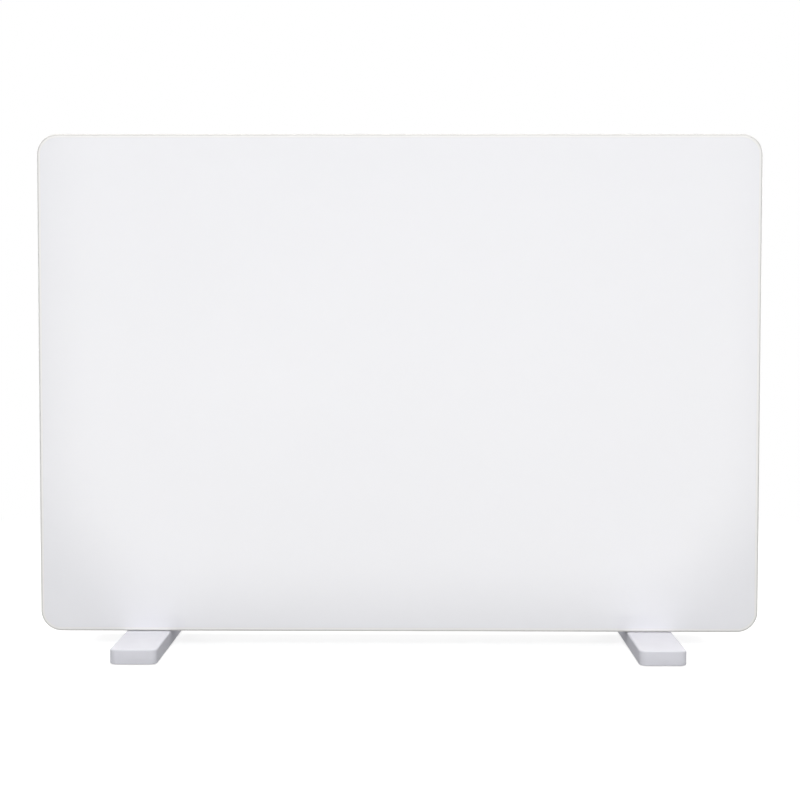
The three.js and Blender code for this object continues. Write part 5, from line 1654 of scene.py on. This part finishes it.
def soft_edge(data, corner, fade, top):
    """Dims a lamp a little towards its top, and to nothing at its sides and foot, with round corners."""
    data.use_nodes = True
    tree = data.node_tree
    width = data.size
    height = data.size_y

    def vector(operation, first, second=(0, 0, 0), output="Vector"):
        """One sum on vectors, with a fixed or a linked second value."""
        return add_node(tree, "ShaderNodeVectorMath", {0: first, 1: second}, output, operation=operation)

    spot = add_node(tree, "ShaderNodeNewGeometry", {}, "Parametric")
    place = vector("MULTIPLY", vector("SUBTRACT", spot, (0.5, 0.5, 0)), (width, -height, 0))
    folded = vector("MAXIMUM", place, vector("MULTIPLY", place, (-1, 1, 1)))
    past = vector("SUBTRACT", folded, (width / 2 - corner, height / 2 - corner, 0))
    reach = vector("LENGTH", vector("MAXIMUM", past), output="Value")
    inputs = {"Value": reach, "From Min": corner - fade, "From Max": corner, "To Min": 1, "To Max": 0}
    edge = add_node(tree, "ShaderNodeMapRange", inputs, interpolation_type="SMOOTHSTEP")
    upward = add_node(tree, "ShaderNodeSeparateXYZ", {"Vector": place}, "Y")
    inputs = {"Value": upward, "From Min": -height / 2, "From Max": 0, "To Min": top}
    upper = add_node(tree, "ShaderNodeMapRange", inputs)
    strength = add_node(tree, "ShaderNodeMath", {0: edge, 1: upper}, operation="MULTIPLY")
    tree.links.new(strength, tree.nodes["Emission"].inputs["Strength"])


def camera(settings):
    """The photograph's point of view."""
    data = bpy.data.cameras.new("camera")
    data.lens = settings.lens
    data.sensor_width = 36
    data.clip_start = 0.05
    data.clip_end = 100
    made = bpy.data.objects.new("camera", data)
    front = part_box("glass_panel")[0].y
    made.location = (settings.camera_side, front - settings.camera_distance, settings.camera_height)
    turn = Matrix.Rotation(settings.camera_yaw, 4, "Z")
    turn @= Matrix.Rotation(QUARTER - settings.camera_pitch, 4, "X")
    turn @= Matrix.Rotation(settings.camera_roll, 4, "Z")
    made.rotation_euler = turn.to_euler()
    bpy.context.scene.collection.objects.link(made)
    bpy.context.scene.camera = made


class HEATER_OT_stage(bpy.types.Operator):
    """Sets up the camera, the lamps, the floor and the white surroundings"""

    bl_idname = "heater.stage"
    bl_label = "Stage"

    def execute(self, context):
        settings = context.scene.heater_stage
        context.scene.view_settings.view_transform = "Standard"
        surroundings(settings)
        floor(settings)
        camera(settings)
        front_lamp(settings)
        cool = (0.97, 0.985, 1)
        warm = (1, 0.97, 0.88)
        white = (1, 1, 1)
        lamp("fill_lamp", settings.fill, cool, size=(1.6, 1.2), place=(0, -3, 2.2), aim=(0, 0, 0.2))
        lamp("top_lamp", settings.top, warm, size=(2.6, 2.6), place=(0, -0.1, 4.2), aim=(0, -0.1, 0))
        for side, x in (("left", -1.5), ("right", 1.5)):
            name = f"rear_lamp_{side}"
            lamp(name, settings.rear, white, size=(1.2, 1), place=(x, 1.2, 0.62), aim=(0, 0, 0.25))
        return {"FINISHED"}


OPERATORS = (
    HEATER_OT_stage,
    HEATER_OT_glass,
    HEATER_OT_bond,
    HEATER_OT_front_plate,
    HEATER_OT_casing,
    HEATER_OT_grille,
    HEATER_OT_screws,
    HEATER_OT_feet,
    HEATER_OT_control_plate,
    HEATER_OT_knob,
    HEATER_OT_switches,
    HEATER_OT_lens,
    HEATER_OT_gland,
    HEATER_OT_inner_parts,
)


class HEATER_PT_panel(bpy.types.Panel):
    """Lists the heater's pieces and settings in the sidebar"""

    bl_idname = "HEATER_PT_panel"
    bl_label = "Glass Panel Heater"
    bl_space_type = "VIEW_3D"
    bl_region_type = "UI"
    bl_category = "Heater"

    def draw(self, context):
        for operator in OPERATORS:
            self.layout.operator(operator.bl_idname)
        for name, group in SETTINGS.items():
            box = self.layout.box()
            box.label(text=group.__doc__)
            for key in group.__annotations__:
                box.prop(getattr(context.scene, name), key)


CLASSES = (*SETTINGS.values(), *OPERATORS, HEATER_PT_panel)


def register():
    """Makes the settings, the operators and the panel known."""
    for kind in CLASSES:
        bpy.utils.register_class(kind)
    for name, group in SETTINGS.items():
        setattr(bpy.types.Scene, name, PointerProperty(type=group))


def unregister():
    """Takes them away again."""
    for name in SETTINGS:
        delattr(bpy.types.Scene, name)
    for kind in reversed(CLASSES):
        bpy.utils.unregister_class(kind)


def main():
    """Builds the whole heater and notes its size beside the frame's."""
    register()
    bpy.ops.heater.stage()
    bpy.ops.heater.glass()
    bpy.ops.heater.bond()
    bpy.ops.heater.front_plate()
    bpy.ops.heater.casing()
    bpy.ops.heater.grille()
    bpy.ops.heater.screws()
    bpy.ops.heater.feet()
    bpy.ops.heater.control_plate()
    bpy.ops.heater.knob()
    bpy.ops.heater.switches()
    bpy.ops.heater.lens()
    bpy.ops.heater.gland()
    bpy.ops.heater.inner_parts()


if __name__ == "__main__":
    main()
